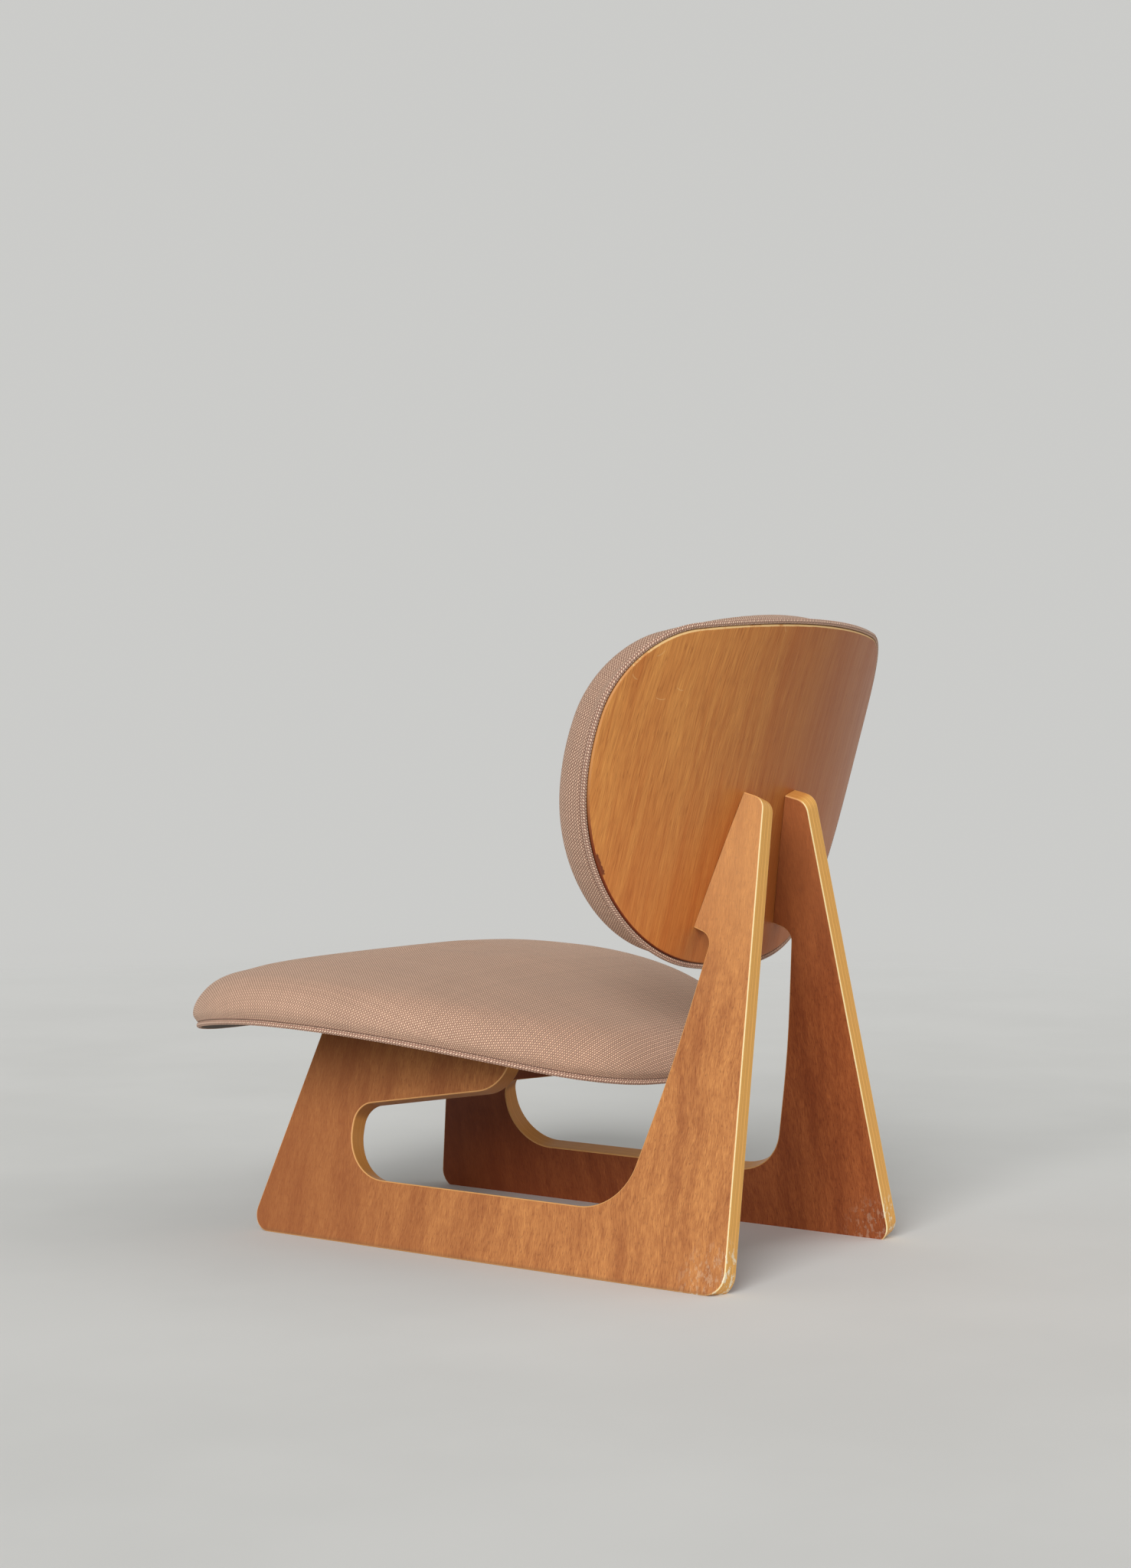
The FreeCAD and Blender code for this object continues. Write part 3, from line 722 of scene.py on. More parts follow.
cord_finish = make_cord_finish()
print(cord_finish.name, "with threads", CORD_THREAD, "mm apart")

# %% [markdown]
# On the seat one weave goes on from the top down to the seam. On the back the wall's threads
# follow the seam instead. So the cover has two maps and a share that says how much of a point
# belongs to the wall. The wall's map also counts the distance up from the seam, where a row of
# stitches draws the cloth in; a thin dark line, dotted by the stitches, is painted there as the
# shade in that crease.

# %% Cover cloth
THREAD = 1.65
STITCH = 3.2
WALL_MAP = "wall"
WALL_SHARE = "wall_share"
LIGHT_THREAD = paint(230, 194, 165)
DARK_THREAD = paint(172, 130, 109)
# The colour between the threads is painted shade; the seam's crease uses it too.
THREAD_GAP_SHADE = paint(116, 80, 68)


def make_cover_finish():
    material, tree = make_cloth_finish("cover_cloth")
    top = weave_on(tree, CLOTH_MAP, 0.0, THREAD, LIGHT_THREAD, DARK_THREAD, THREAD_GAP_SHADE)
    # The wall's gap colour is painted shade between its threads.
    wall = weave_on(tree, WALL_MAP, 0.0, THREAD, LIGHT_THREAD, paint(146, 104, 88),
                    paint(80, 52, 44))
    share = node("Attribute", tree=tree, attribute_name=WALL_SHARE)["Fac"]
    run, up, _ = separate(node("UVMap", tree=tree, uv_map=WALL_MAP)[0])
    stitch = calc("SINE", run * (2 * math.pi / mm(STITCH)))
    # Painted shade in the seam's crease, dotted by the stitches.
    seam_crease_shade = span(up, mm(0.5), mm(2.0), 1.0, 0.0) * (stitch * 0.2 + 0.6)
    colour = mix(seam_crease_shade, mix(share, top["Color"], wall["Color"]), THREAD_GAP_SHADE)
    height = mix(share, top["Height"], wall["Height"])
    link(tree, Base_Color=colour, Normal=bump(height, 0.0005, 0.8))
    return material


cover_finish = make_cover_finish()
print(cover_finish.name, "with threads", THREAD, "mm apart and stitches", STITCH, "mm long")

# %% [markdown]
# ## Outlines
# The seat and the back are drawn with tangent arcs: half of each outline is a front arc, a
# front corner, a side, a rear corner and a rear arc. The same arcs are needed here three times:
# to lay the piping, to tell how far a point of the cushion is from the edge and to map the
# cloth. The outline object keeps the arcs of the right half and mirrors the rest.

# %% Outlines of tangent arcs
class Outline:
    def __init__(self, width, deep, front_r, rear_r, turns, start):
        """Solves the three long arcs that give the width and depth with the two corner radii.
        The first four arcs turn by the degrees in turns, and the last by what is left."""
        heads = [0.0] + [math.radians(sum(turns[:i])) for i in (1, 2, 3, 4)] + [math.pi]
        s = [math.sin(h) for h in heads]
        c = [math.cos(h) for h in heads]
        half = width / 2 - front_r * (s[2] - s[1])
        close = -front_r * (s[2] - s[1]) - rear_r * (s[4] - s[3])
        rest = deep - front_r * (c[1] - c[2]) - rear_r * (c[3] - c[4])
        gain = -(1 - c[1]) * (1 - s[2]) / s[1] + (c[2] - c[3]) + (1 + c[4]) * (s[3] - 1) / s[4]
        side = (rest - (1 - c[1]) * half / s[1] + (1 + c[4]) * (close - half) / s[4]) / gain
        nose = (half - (1 - s[2]) * side) / s[1]
        tail = ((s[3] - 1) * side - (close - half)) / s[4]
        self.arcs = []
        x, y, run = 0.0, start, 0.0
        for i, radius in enumerate((nose, front_r, side, rear_r, tail)):
            centre = (x - radius * s[i], y + radius * c[i])
            self.arcs.append((centre, radius, heads[i], heads[i + 1], run))
            x, y = centre[0] + radius * s[i + 1], centre[1] - radius * c[i + 1]
            run += radius * (heads[i + 1] - heads[i])
        self.half_length = run
        self.middle = start + deep / 2

    def measure(self, x, y):
        """For arrays of points: distance in from the edge, outward direction, way round."""
        inset = np.full(x.shape, 1e9)
        nx, ny, run = np.zeros_like(x), np.zeros_like(x), np.zeros_like(x)
        ax = np.abs(x)
        for (cx, cy), radius, low, high, start in self.arcs:
            head = np.arctan2(ax - cx, cy - y)
            inside = np.clip(head, low, high)
            near = radius - np.hypot(ax - cx, y - cy)
            fits = (np.abs(head - inside) < 1e-3) & (np.abs(near) < np.abs(inset))
            inset = np.where(fits, near, inset)
            nx = np.where(fits, np.sin(head), nx)
            ny = np.where(fits, -np.cos(head), ny)
            run = np.where(fits, start + radius * (head - low), run)
        side = np.where(x < 0.0, -1.0, 1.0)
        return inset, nx * side, ny, run * side

    def walk(self, count, inset):
        """Evenly spaced stations round the whole outline, moved in from it."""
        stations = []
        for k in range(count):
            run = (k / count) * 2 * self.half_length
            flip = 1.0 if run <= self.half_length else -1.0
            run = run if flip > 0 else 2 * self.half_length - run
            for (cx, cy), radius, low, high, start in self.arcs:
                head = low + (run - start) / radius
                if head <= high + 1e-9:
                    break
            reach = radius - inset
            stations.append((flip * (cx + reach * math.sin(head)), cy - reach * math.cos(head)))
        return stations


SEAT_OUTLINE = Outline(542.5, 548.0, 185.0, 186.5, (9.0, 75.0, 42.0, 44.0), SEAT_FRONT_Y)
BACK_OUTLINE = Outline(514.5, 350.0, 201.5, 102.9, (7.0, 72.0, 16.0, 75.0), -209.2)
BACK_PAD_OUTLINE = Outline(528.4, 353.3, 188.0, 107.0, (13.6, 66.2, 17.1, 66.0), -212.2)
print("seat outline, half its length in mm:", round(SEAT_OUTLINE.half_length, 1))

# %% [markdown]
# ## Two moulded surfaces
# The seat's underside is two arcs that meet level at the crest; the back's rear face is an arc
# seen from above, turned about a far axis. Each pair of functions goes from the chair to the
# flat outline and back again, so a cushion can be judged as if it lay flat on a table.

# %% The seat's surface, laid flat
SEAT_CREST_Y = -190.0
SEAT_CREST_Z = 231.0
SEAT_FRONT_BEND_R = 647.0
SEAT_REAR_BEND_R = 1054.0


def seat_flat(points):
    """Columns across, along and height over the moulded underside, all in drawing mm."""
    x, y, z = (points * 1000.0).T
    y = y - 1000.0 * DRAWING_TO_MODEL_Y
    bend = np.where(y < SEAT_CREST_Y, SEAT_FRONT_BEND_R, SEAT_REAR_BEND_R)
    height = np.hypot(z - SEAT_CREST_Z + bend, y - SEAT_CREST_Y) - bend
    return x, y, height


def seat_chair(x, y, height):
    bend = np.where(y < SEAT_CREST_Y, SEAT_FRONT_BEND_R, SEAT_REAR_BEND_R)
    z = SEAT_CREST_Z - bend + np.sqrt((bend + height) ** 2 - (y - SEAT_CREST_Y) ** 2)
    return np.stack([x, y + 1000.0 * DRAWING_TO_MODEL_Y, z], axis=-1) / 1000.0


there = np.array([seat_chair(100.0, -100.0, 20.0), seat_chair(-50.0, -300.0, 5.0)])
print("seat there and back:", [np.round(c, 3).tolist() for c in seat_flat(there)])

# %% [markdown]
# The back bends both ways, so a point's place is two angles: how far it has swung up about the
# far axis, and how far round the near one it lies. BACK_O is the middle of the shell.

# %% The back's surface, laid flat
def back_flat(points):
    """Columns across, up and forward of the shell's rear face, all in mm."""
    away = (points - np.array(BACK_O)) * 1000.0
    x, up, ward = away[:, 0], away @ np.array(BACK_U), away @ np.array(BACK_WARD)
    swing = np.arctan2(up, BACK_SIDE_R - ward)
    level = BACK_SIDE_R - np.hypot(up, BACK_SIDE_R - ward) + BACK_PLAN_R
    across = np.arctan2(x, level)
    forward = BACK_PLAN_R - np.hypot(x, level)
    v = np.sin(swing) * (BACK_SIDE_R + BACK_PLAN_R * (1 - np.cos(across)))
    return BACK_PLAN_R * np.sin(across), v, forward


def back_chair(x, v, forward):
    across = x / BACK_PLAN_R
    level = np.sqrt(1 - across ** 2)
    swing = np.arcsin(v / (BACK_SIDE_R + BACK_PLAN_R * (1 - level)))
    radius = BACK_PLAN_R - forward
    arm = BACK_SIDE_R + BACK_PLAN_R - radius * level
    up, ward = arm * np.sin(swing), BACK_SIDE_R - arm * np.cos(swing)
    made = np.stack([radius * across, 0 * up, 0 * up], axis=-1)
    made = made + np.multiply.outer(up, np.array(BACK_U))
    made = made + np.multiply.outer(ward, np.array(BACK_WARD))
    return made / 1000.0 + np.array(BACK_O)


there = np.array([back_chair(100.0, -80.0, 12.0), back_chair(-200.0, 90.0, 30.0)])
print("back there and back:", [np.round(c, 3).tolist() for c in back_flat(there)])

# %% [markdown]
# ## Piping
# Piping is a cord in a strip of cloth cut on the bias, so its weave shows as slanting beads. It
# is laid through stations along an outline, each with a frame of three directions that turn
# with the cord.

# %% Stations of a cord
CORD_R = PIPING_D / 2
CORD_STATIONS = 420


def stations_round(outline, chair, inset, rise):
    """Places along an outline, each with the direction away from the board."""
    stations = []
    for x, y in outline.walk(CORD_STATIONS, inset):
        low, high = chair(x, y, 0.0), chair(x, y, rise)
        stations.append((Vector(high), Vector(high - low).normalized()))
    return stations


def cord_frames(stations):
    """A placing matrix for each station: outward, away from the board, and along the cord."""
    frames = []
    for i, (place, away) in enumerate(stations):
        along = (stations[(i + 1) % len(stations)][0] - stations[i - 1][0]).normalized()
        outward = away.cross(along).normalized()
        frames.append(Matrix((outward, along.cross(outward), along)).transposed().to_4x4())
        frames[-1].translation = place
    return frames


print("stations on the seat's outline are", round(2 * SEAT_OUTLINE.half_length / CORD_STATIONS, 2),
      "mm apart")

# %% [markdown]
# A ring of twelve points is extruded from station to station and turned with the frames, and
# the last ring is bridged to the first. The map counts metres along the cord and round it, and
# the material turns it by 45 degrees.

# %% Laying a cord
CORD_SIDES = 12


def map_cord(bm, along, turn, whole, girth):
    """The cord's map, mended where a face lies across the end of a count."""
    cloth = bm.loops.layers.uv.new(CLOTH_MAP)
    for face in bm.faces:
        corners = [(loop.vert[along], loop.vert[turn]) for loop in face.loops]
        most_along, most_turn = (max(values) for values in zip(*corners))
        for loop, (length, share) in zip(face.loops, corners):
            length += whole if most_along - length > whole / 2 else 0.0
            share += 1.0 if most_turn - share > 0.5 else 0.0
            loop[cloth].uv = (length, share * girth)


def lay_cord(name, stations, radius):
    frames = cord_frames(stations)
    bm = bmesh.new()
    along = bm.verts.layers.float.new("along")
    turn = bm.verts.layers.float.new("turn")
    ring = bmesh.ops.create_circle(bm, segments=CORD_SIDES, radius=radius,
                                   matrix=frames[0])["verts"]
    for k, vert in enumerate(ring):
        vert[turn] = k / CORD_SIDES
    run = 0.0
    for before, after in zip(frames, frames[1:]):
        edges = list(dict.fromkeys(e for v in ring for e in v.link_edges
                                   if e.other_vert(v) in ring))
        grown = bmesh.ops.extrude_edge_only(bm, edges=edges)["geom"]
        ring = [g for g in grown if isinstance(g, bmesh.types.BMVert)]
        bmesh.ops.transform(bm, matrix=after @ before.inverted(), verts=ring)
        run += (after.translation - before.translation).length
        for vert in ring:
            vert[along] = run
    bmesh.ops.bridge_loops(bm, edges=[e for e in bm.edges if e.is_boundary])
    bmesh.ops.recalc_face_normals(bm, faces=bm.faces)
    whole = run + (frames[0].translation - frames[-1].translation).length
    map_cord(bm, along, turn, whole, 2 * math.pi * radius)
    cord = put(name, mesh_from(name, bm))
    cord.data.materials.append(cord_finish)
    cord.data.shade_smooth()
    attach(cord, "root")
    print(name, "of", len(cord.data.polygons), "faces,", round(whole, 3), "m long")
    return cord


print("a cord has", CORD_STATIONS, "rings of", CORD_SIDES, "points")

# %% [markdown]
# The seat's cord lies inside the seat's outline, on the underside. The back's lies round the
# edge of the shell, a little clear of it.

# %% The two cords
CORD_CLEAR = 0.3

seat_cord = lay_cord("seat_cord", stations_round(SEAT_OUTLINE, seat_chair, CORD_R, CORD_R),
                     mm(CORD_R))
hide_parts("seat_piping")
back_cord = lay_cord("back_cord", stations_round(BACK_OUTLINE, back_chair, -CORD_R - CORD_CLEAR,
                                                 CORD_R + CORD_CLEAR), mm(CORD_R))
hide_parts("back_piping")

# %% [markdown]
# ## Cushions
# Each cushion is foam under one piece of cloth that is drawn down over the edge and held by the
# piping. It is worked on as an array of points, which numpy moves all at once.

# %% Points of a mesh, and modifiers made real
def settle(obj):
    """Replaces the object's mesh by what its modifiers make, and drops them."""
    found = bpy.context.evaluated_depsgraph_get()
    mesh = bpy.data.meshes.new_from_object(obj.evaluated_get(found))
    old = obj.data
    obj.modifiers.clear()
    obj.data = mesh
    bpy.data.meshes.remove(old)


def vectors(items, field):
    """One row of three numbers for each item."""
    flat = np.empty(len(items) * 3)
    items.foreach_get(field, flat)
    return flat.reshape(-1, 3)


def get_points(mesh):
    return vectors(mesh.vertices, "co")


def set_points(mesh, points):
    mesh.vertices.foreach_set("co", points.ravel())
    mesh.update()


@contextmanager
def opened(mesh):
    """Lends a mesh as a bmesh, and takes back what it has become."""
    bm = bmesh.new()
    bm.from_mesh(mesh)
    yield bm
    bm.to_mesh(mesh)
    bm.free()


def fade(value, low, high):
    """0 up to low, 1 from high on, smooth between."""
    share = np.clip((value - low) / (high - low), 0.0, 1.0)
    return share * share * (3 - 2 * share)


print("points of the seat's cover:", len(get_points(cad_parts["seat_cover"].data)))

# %% [markdown]
# The CAD cover, foam and board are joined and remeshed into one closed skin of even quads,
# because cloth needs points that lie evenly, and a CAD mesh has them only where it bends.

# %% An even skin
SKIN = 5.5           # mm between the skin's points
SMOOTHINGS = 3


def skin_over(name, nodes):
    """One closed even skin round the named CAD nodes."""
    bm = bmesh.new()
    for each in nodes:
        bm.from_mesh(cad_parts[each].data)
    bmesh.ops.remove_doubles(bm, verts=bm.verts, dist=1e-6)
    pad = put(name, mesh_from(name, bm))
    wrap = pad.modifiers.new("skin", "REMESH")
    wrap.mode = "VOXEL"
    wrap.voxel_size = mm(SKIN)
    settle(pad)
    with opened(pad.data) as bm:
        for _ in range(SMOOTHINGS):
            bmesh.ops.smooth_vert(bm, verts=bm.verts, factor=0.5, use_axis_x=True,
                                  use_axis_y=True, use_axis_z=True)
    return pad


print("skin with points", SKIN, "mm apart, smoothed", SMOOTHINGS, "times")

# %% [markdown]
# The skin starts a little too small, and Blender's cloth swells it with a gentle pressure while
# its rim is held. That gives the tight fullness of upholstery. The movement has a cap, and only
# a share of it is kept, so the chair keeps its size.

# %% Swelling
SHRINK = 2.6         # mm by which the skin starts too small
SWELL_MOST = 4.2     # mm that a point may move
SWELL_KEPT = 0.2     # share of the swelling over the drawn form that stays
HELD_BELOW = 9.0     # mm over the board's underside that the tacked rim reaches
HELD_SOFT = 3.0      # mm over which the hold fades, up and down
PRESSURE = 4.0
SIM_FRAMES = 20


def swell(pad, held):
    """Cloth pressure with a held rim and a cap on how far a point moves."""
    start = get_points(pad.data)
    pins = pad.vertex_groups.new(name="held")
    for index in np.flatnonzero(held > 0.01):
        pins.add([int(index)], float(held[index]), "REPLACE")
    cloth = pad.modifiers.new("cloth", "CLOTH")
    cloth.settings.use_pressure = True
    cloth.settings.uniform_pressure_force = PRESSURE
    cloth.settings.vertex_group_mass = "held"
    cloth.settings.effector_weights.gravity = 0.0
    cloth.point_cache.frame_start = 1
    cloth.point_cache.frame_end = SIM_FRAMES
    for number in range(1, SIM_FRAMES + 1):
        bpy.context.scene.frame_set(number)
    settle(pad)
    bpy.context.scene.frame_set(1)
    pad.vertex_groups.clear()
    moved = get_points(pad.data) - start
    length = np.linalg.norm(moved, axis=1)
    print(pad.name, "moved, mm: mean", round(1000 * length.mean(), 2), "most",
          round(1000 * length.max(), 2))
    cap = np.minimum(1.0, mm(SWELL_MOST) / np.maximum(length, 1e-9))
    set_points(pad.data, start + moved * cap[:, None])


def swollen_skin(name, nodes, flat):
    """An even skin over the nodes, swollen and then subdivided once."""
    pad = skin_over(name, nodes)
    points = get_points(pad.data)
    held = 1.0 - fade(flat(points)[2], HELD_BELOW - HELD_SOFT, HELD_BELOW + HELD_SOFT)
    outward = vectors(pad.data.vertex_normals, "vector")
    set_points(pad.data, points - outward * (mm(SHRINK) * (1.0 - held))[:, None])
    swell(pad, held)
    set_points(pad.data, points + (get_points(pad.data) - points) * SWELL_KEPT)
    finer = pad.modifiers.new("finer", "SUBSURF")
    finer.levels = finer.render_levels = 1
    settle(pad)
    return pad


print("held fully below", HELD_BELOW - HELD_SOFT, "mm and free above", HELD_BELOW + HELD_SOFT)

# %% [markdown]
# A remeshed skin is blunt where the cloth is drawn in to the seam. So the wall is brought onto
# a profile: a smooth curve of insets and heights from the crown's edge down to the seam, which
# is the same all round.

# %% The wall's profile
def lengths_along(points):
    """How far along a line of points each of them lies."""
    return np.concatenate([[0.0], np.cumsum(np.linalg.norm(np.diff(points, axis=0), axis=1))])


def drawn_through(points, steps=6):
    """A smooth curve through the points, as a loft draws it through its rings."""
    at = np.array(points)
    gap = np.diff(lengths_along(at))
    slope = np.diff(at, axis=0) / gap[:, None]
    inner = ((slope[1:] * gap[:-1, None] + slope[:-1] * gap[1:, None])
             / (gap[1:] + gap[:-1])[:, None])
    heading = np.vstack([slope[:1], inner, slope[-1:]])
    curve = []
    for i in range(len(gap)):
        for s in np.arange(steps) / steps:
            ahead = s * s * (3 - 2 * s)
            turned = (1 - s) * heading[i] - s * heading[i + 1]
            curve.append((1 - ahead) * at[i] + ahead * at[i + 1] + gap[i] * s * (1 - s) * turned)
    return np.array(curve + [at[-1]])


def wall_profile(form, low):
    """The curve through a form's points as far as the height of the seam."""
    profile = drawn_through(form)
    profile = profile[:int(np.argmin(np.abs(profile[:, 1] - low))) + 1]
    profile[-1, 1] = low
    return profile


print("a curve through three points has", len(drawn_through([(0, 2), (1, 1), (1, 0)])), "points")

# %% [markdown]
# Each point of the wall is drawn to the nearest place on the profile. The pull begins at
# nothing on the crown and is whole further down, so the crown keeps its swelling.

# %% Drawing the wall
DRAWN_BY = 0.35      # share of the wall's length by which the pull is whole


def along_profile(inset, height, profile):
    """Nearest place on the profile: its length from the crown, its inset and its height."""
    best = np.full(inset.shape, 1e9)
    length, near_inset, near_height = (np.zeros_like(inset) for _ in range(3))
    run = 0.0
    for (i0, h0), (i1, h1) in zip(profile, profile[1:]):
        size = math.hypot(i1 - i0, h1 - h0)
        share = ((inset - i0) * (i1 - i0) + (height - h0) * (h1 - h0)) / size ** 2
        share = np.clip(share, 0.0, 1.0)
        on_i, on_h = i0 + share * (i1 - i0), h0 + share * (h1 - h0)
        away = np.hypot(inset - on_i, height - on_h)
        nearer = away < best
        length = np.where(nearer, run + share * size, length)
        near_inset = np.where(nearer, on_i, near_inset)
        near_height = np.where(nearer, on_h, near_height)
        best = np.minimum(away, best)
        run += size
    return length, near_inset, near_height


def bring_to(measure, x, y, inset, height):
    """Moves points square to the outline until, at the given height, they are at the given inset.
    """
    for _ in range(3):
        now, nx, ny, _ = measure(x, y, height)
        x, y = x + nx * (now - inset), y + ny * (now - inset)
    return x, y


def draw_wall(pad, measure, profile):
    x, y, height = get_points(pad.data).T
    inset = measure(x, y, height)[0]
    length, near_inset, near_height = along_profile(inset, height, profile)
    drawn = fade(length / lengths_along(profile)[-1], 0.0, DRAWN_BY)
    height = height + (near_height - height) * drawn
    x, y = bring_to(measure, x, y, inset + (near_inset - inset) * drawn, height)
    set_points(pad.data, np.stack([x, y, height], axis=1))


nearest = along_profile(np.array([2.0]), np.array([1.0]), [(0, 0), (1, 0), (1, 3)])
print("length, inset and height of the nearest place:", [float(each[0]) for each in nearest])

# %% [markdown]
# The last millimetres over the seam get even rings of quads instead of the skin's own points,
# so that the seam is a clean line. The skin is cut off above it, and each ring gets an inset
# and a height: first down the profile, then in towards the board and up beside its edge.

# %% Cut and rings
RIM_CUT = 7.0        # mm over the seam where the skin gives way to even rings
RIM_RINGS = (4.5, 2.4, 1.0, 0.3, 0.0)    # mm of cloth up from the seam
TURN_IN = 1.2        # mm that the cloth turns in first, round the corner
BOARD_IN = 9.0       # mm from the edge to where the cloth goes up beside the board
BOARD_LEAN = 0.6     # mm that it leans in there


def cut_rim(pad, height):
    """Cuts off everything under a height."""
    with opened(pad.data) as bm:
        bmesh.ops.bisect_plane(bm, geom=bm.verts[:] + bm.edges[:] + bm.faces[:], dist=0.01,
                               plane_co=(0.0, 0.0, height), plane_no=(0.0, 0.0, 1.0),
                               clear_inner=True)


def rim_rings(profile, low, board_top):
    """Inset and height of each ring from the cut to the board's top."""
    lengths = lengths_along(profile)
    rings = [tuple(float(np.interp(lengths[-1] - up, lengths, profile[:, column]))
                   for column in (0, 1)) for up in RIM_RINGS]
    return rings + [(rings[-1][0] + TURN_IN, low), (BOARD_IN, low),
                    (BOARD_IN + BOARD_LEAN, board_top)]


upright = np.array([(0.0, 20.0), (0.0, 0.0)])
print("rings for an upright wall:", np.round(rim_rings(upright, 0.0, 5.0), 1).tolist())

# %% [markdown]
# The open rim is extruded from ring to ring and then closed over the board with rings that
# shrink towards the middle, where the last one is merged into a point.

# %% Turning the cloth under
CLOSING_RINGS = 6
CLOSING_SHRINK = 0.72


def grow_ring(bm):
    """Extrudes the open rim and returns the new ring."""
    rim = [e for e in bm.edges if e.is_boundary]
    grown = bmesh.ops.extrude_edge_only(bm, edges=rim)["geom"]
    return [g for g in grown if isinstance(g, bmesh.types.BMVert)]


def turn_under(pad, measure, rings, middle):
    """Carries the open rim down to the seam, turns it under and closes it over the board."""
    centre = Matrix.Translation((0.0, middle, 0.0))
    shrink = Matrix.Diagonal((CLOSING_SHRINK, CLOSING_SHRINK, 1.0, 1.0))
    with opened(pad.data) as bm:
        for inset, height in rings:
            ring = grow_ring(bm)
            x, y = np.array([v.co.x for v in ring]), np.array([v.co.y for v in ring])
            x, y = bring_to(measure, x, y, inset, np.full(x.shape, height))
            for vert, a, b in zip(ring, x, y):
                vert.co = (a, b, height)
        for _ in range(CLOSING_RINGS):
            ring = grow_ring(bm)
            bmesh.ops.transform(bm, matrix=centre @ shrink @ centre.inverted(), verts=ring)
        bmesh.ops.pointmerge(bm, verts=ring, merge_co=(0.0, middle, ring[0].co.z))
        bmesh.ops.recalc_face_normals(bm, faces=bm.faces)
        print(pad.name, "open edges", sum(not e.is_manifold for e in bm.edges))


print("the last ring is", round(CLOSING_SHRINK ** CLOSING_RINGS, 2), "of the rim's size")

# %% [markdown]
# Where cloth is eased round a corner it gathers in small pleats over the seam. A wave along the
# seam, whose own rhythm wanders, makes them, and it dies away upwards and on the straight runs.

# %% Pleats and upholstering
PLEAT = 0.4          # mm that the small pleats stand out


def pleats_at(nx, ny, run, seam):
    """How far the cloth stands out, in mm, by direction, way round and height over the seam."""
    corner = (2.0 * nx * ny) ** 2
    wave = np.sin(run / 2.0 + 1.7 * np.sin(run / 17.0)) * (0.6 + 0.4 * np.sin(run / 11.0 + 2.0))
    return PLEAT * corner * wave * np.exp(-np.maximum(seam, 0.0) / 12.0) * fade(seam, 0.0, 3.0)


def upholster(name, nodes, flat, chair, measure, middle, form, low, board_top):
    """Makes a cushion. It is shaped laid flat, then put on the chair. Returns what was measured
    at each point: place, inset, outward direction, way round, and cloth from crown and seam."""
    pad = swollen_skin(name, nodes, flat)
    profile = wall_profile(form, low)
    set_points(pad.data, np.stack(flat(get_points(pad.data)), axis=1))
    cut_rim(pad, low + RIM_CUT)
    draw_wall(pad, measure, profile)
    turn_under(pad, measure, rim_rings(profile, low, board_top), middle)
    x, y, height = get_points(pad.data).T
    inset, nx, ny, run = measure(x, y, height)
    length = along_profile(inset, height, profile)[0]
    whole = lengths_along(profile)[-1]
    seam = np.where(height > low + 0.01, whole - length, 0.0)
    out = pleats_at(nx, ny, run, seam)
    x, y, inset = x + nx * out, y + ny * out, inset - out
    set_points(pad.data, chair(x, y, height))
    print(name, "quads", len(pad.data.polygons), "cloth from crown to seam, mm:", round(whole, 1))
    return pad, (x, y, inset, nx, ny, run, length, seam)


round_corner = pleats_at(math.sqrt(0.5), math.sqrt(0.5), np.arange(0.0, 60.0), 4.0)
print("pleats 4 mm over a corner's seam, mm: from", round(round_corner.min(), 2), "to",
      round(round_corner.max(), 2))

# %% [markdown]
# The weave is laid on two maps. On the first the wall is folded out round the crown, as the
# cloth lay before it was drawn down. On the second, u counts metres round the seam and v metres
# up from it. A face that lies across the end of the count would hold the whole cloth, so its
# low corners are moved on by a whole turn.

# %% Maps of the cloth
WALL_BLEND = 12.0    # mm of cloth over which the wall's weave gives way to the top's


def lay_map(pad, name, u, v, whole=None):
    """A map from one place for each point; whole is the turn after which u starts again."""
    mesh = pad.data
    layer = mesh.uv_layers.new(name=name)
    corners = np.empty(len(mesh.loops), dtype=np.int64)
    mesh.loops.foreach_get("vertex_index", corners)
    across, up = u[corners], v[corners]
    if whole:
        firsts = np.empty(len(mesh.polygons), dtype=np.int64)
        mesh.polygons.foreach_get("loop_start", firsts)
        counts = np.diff(np.append(firsts, len(across)))
        most = np.repeat(np.maximum.reduceat(across, firsts), counts)
        least = np.repeat(np.minimum.reduceat(across, firsts), counts)
        broken = most - least > whole / 2
        across = np.where(broken & (across < 0.0), across + whole, across)
        print(pad.name, "corners across the end of the count:", int(broken.sum()))
    layer.uv.foreach_set("vector", np.stack([across, up], axis=1).ravel())


def map_cloth(pad, measured, edge, wall_from, whole):
    """Lays both maps and the share, and gives the cushion its cloth."""
    x, y, inset, nx, ny, run, length, seam = measured
    out = np.where(inset < edge, length - (edge - inset), 0.0)
    lay_map(pad, CLOTH_MAP, mm(x + nx * out), mm(y + ny * out))
    lay_map(pad, WALL_MAP, mm(run), mm(seam), mm(whole))
    share = pad.data.attributes.new(WALL_SHARE, "FLOAT", "POINT")
    share.data.foreach_set("value", 1.0 - fade(seam, wall_from, wall_from + WALL_BLEND))
    pad.data.materials.clear()
    pad.data.materials.append(cover_finish)
    pad.data.shade_smooth()
    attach(pad, "root")


print("maps:", CLOTH_MAP, "and", WALL_MAP, "blended over", WALL_BLEND, "mm")

# %% [markdown]
# The form of a cushion is a list of insets from the edge and heights over the underside, in mm,
# from the crown's edge down to the seam. At the seat's front the wall leans back further up.

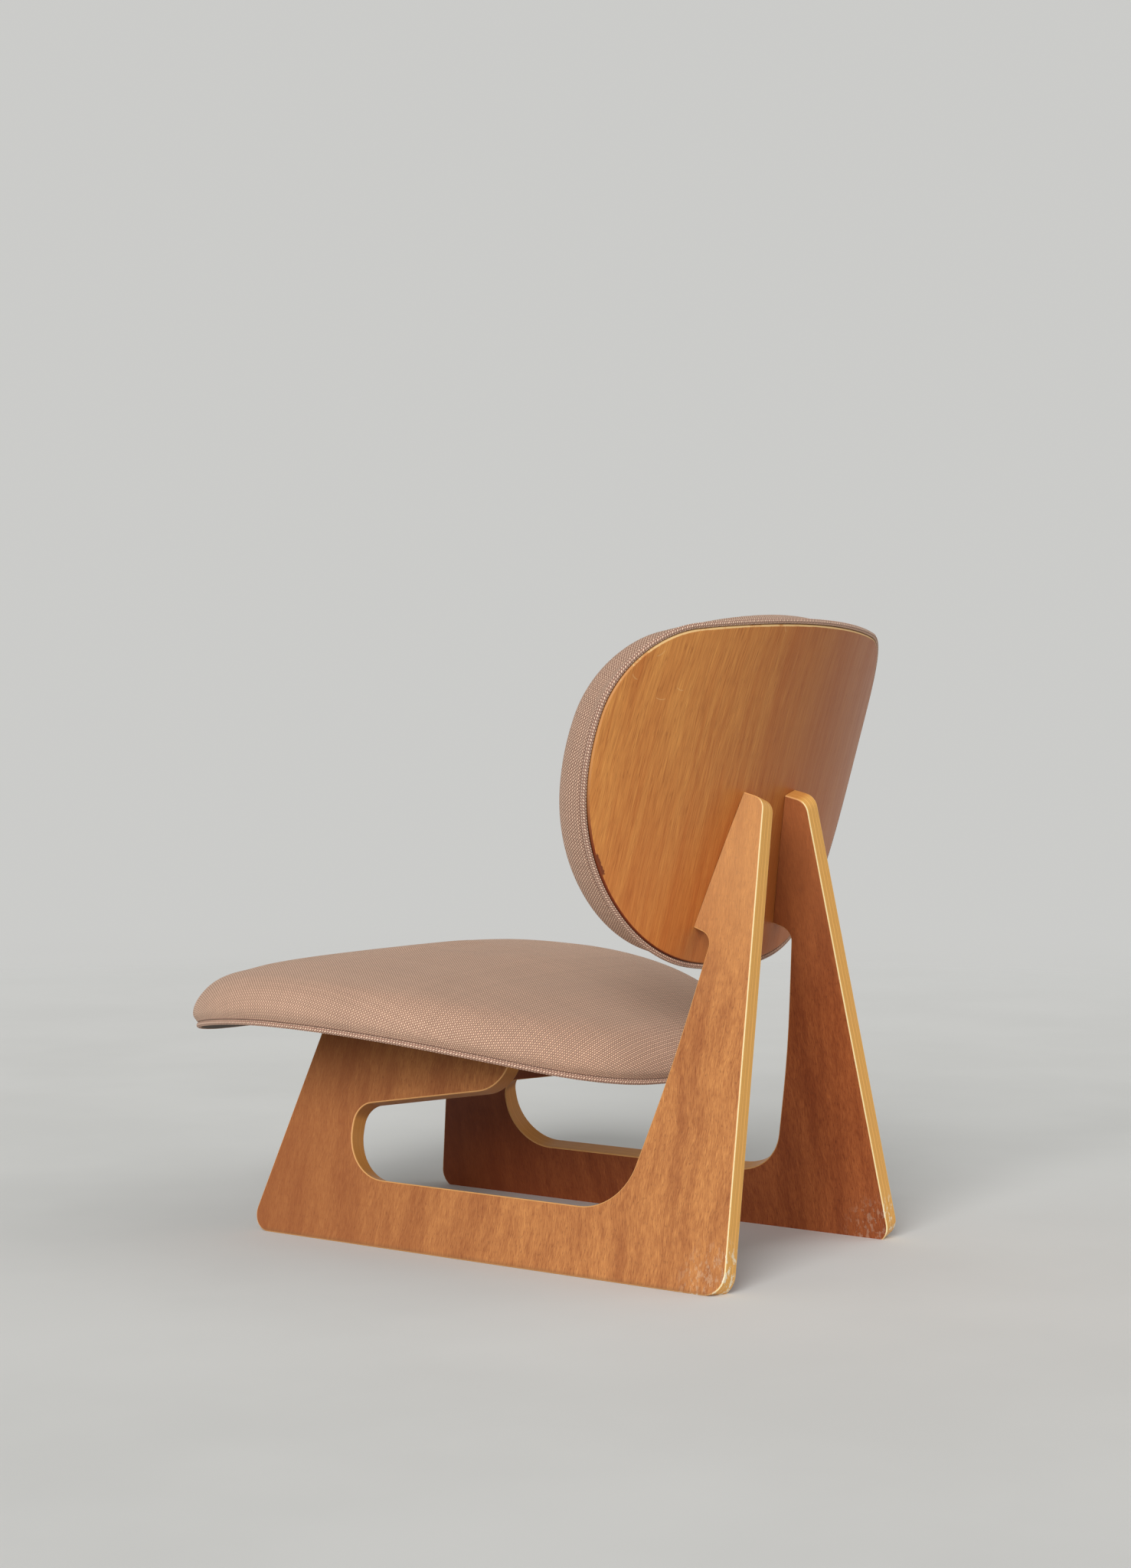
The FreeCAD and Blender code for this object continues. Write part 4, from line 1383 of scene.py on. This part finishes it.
# %% The seat cushion
SEAT_FORM = [(62.0, 54.5), (34.0, 50.5), (16.0, 45.0), (5.0, 37.0), (-2.4, 26.0), (-3.6, 15.0),
             (4.0, 2.0), (5.0, -4.0)]
SEAT_BOARD_TOP = 10.8
SEAT_RIM_LOW = 5.8
SEAT_WALL_FROM = -20.0               # under the seam, so the top's weave goes on down to it
NOSE_SLOPE = 6.0                     # mm by which the front's wall leans back
LEANS_FROM, LEANS_BY = 12.0, 42.0    # mm up where the lean fades in
CROWN_FROM, CROWN_BY = 46.0, 53.0    # mm up where it fades out again


def seat_measure(x, y, height):
    inset, nx, ny, run = SEAT_OUTLINE.measure(x, y)
    high_up = fade(height, LEANS_FROM, LEANS_BY) - fade(height, CROWN_FROM, CROWN_BY)
    sloped = NOSE_SLOPE * np.clip(-ny, 0.0, 1.0) ** 2 * high_up
    return inset - sloped, nx, ny, run


seat_cushion, seat_measured = upholster(
    "seat_cushion", ["seat_cover", "seat_foam", "seat_board"], seat_flat, seat_chair,
    seat_measure, SEAT_OUTLINE.middle, SEAT_FORM, SEAT_RIM_LOW, SEAT_BOARD_TOP)
map_cloth(seat_cushion, seat_measured, SEAT_FORM[0][0], SEAT_WALL_FROM,
          2 * SEAT_OUTLINE.half_length)
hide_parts("seat_cover", "seat_foam")

# %% [markdown]
# The back's cushion is wider than its shell, but its seam follows the shell's edge. So low on
# its wall the distance from the edge is counted from the shell's outline, and higher up from
# the cushion's own. The heights of its form start on the shell's front face.

# %% The back cushion
BACK_FORM = [(30.0, 46.5), (14.0, 43.7), (5.5, 39.5), (1.2, 34.0), (0.0, 23.0), (0.3, 13.0),
             (-2.8, 3.0), (-1.5, -4.0)]
BACK_BOARD_TOP = 9.8
BACK_RIM_LOW = 6.1
BACK_WALL_FROM = 34.0                # mm of cloth up the wall
WIDENS_FROM = 3.0
WIDENS_OVER = 20.0
WIDENS_SOFTLY = 2.3


def back_measure(x, y, height):
    rest = 1.0 - np.clip((height - SHELL_T - WIDENS_FROM) / WIDENS_OVER, 0.0, 1.0)
    own_share = 1.0 - rest ** WIDENS_SOFTLY
    own, nx, ny, run = BACK_PAD_OUTLINE.measure(x, y)
    shell = BACK_OUTLINE.measure(x, y)[0]
    return own_share * own + (1.0 - own_share) * shell, nx, ny, run


back_cushion, back_measured = upholster(
    "back_cushion", ["back_cover", "back_foam", "back_board"], back_flat, back_chair,
    back_measure, BACK_PAD_OUTLINE.middle, [(inset, up + SHELL_T) for inset, up in BACK_FORM],
    BACK_RIM_LOW, BACK_BOARD_TOP)
map_cloth(back_cushion, back_measured, BACK_FORM[0][0], BACK_WALL_FROM,
          2 * BACK_PAD_OUTLINE.half_length)
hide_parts("back_cover", "back_foam")
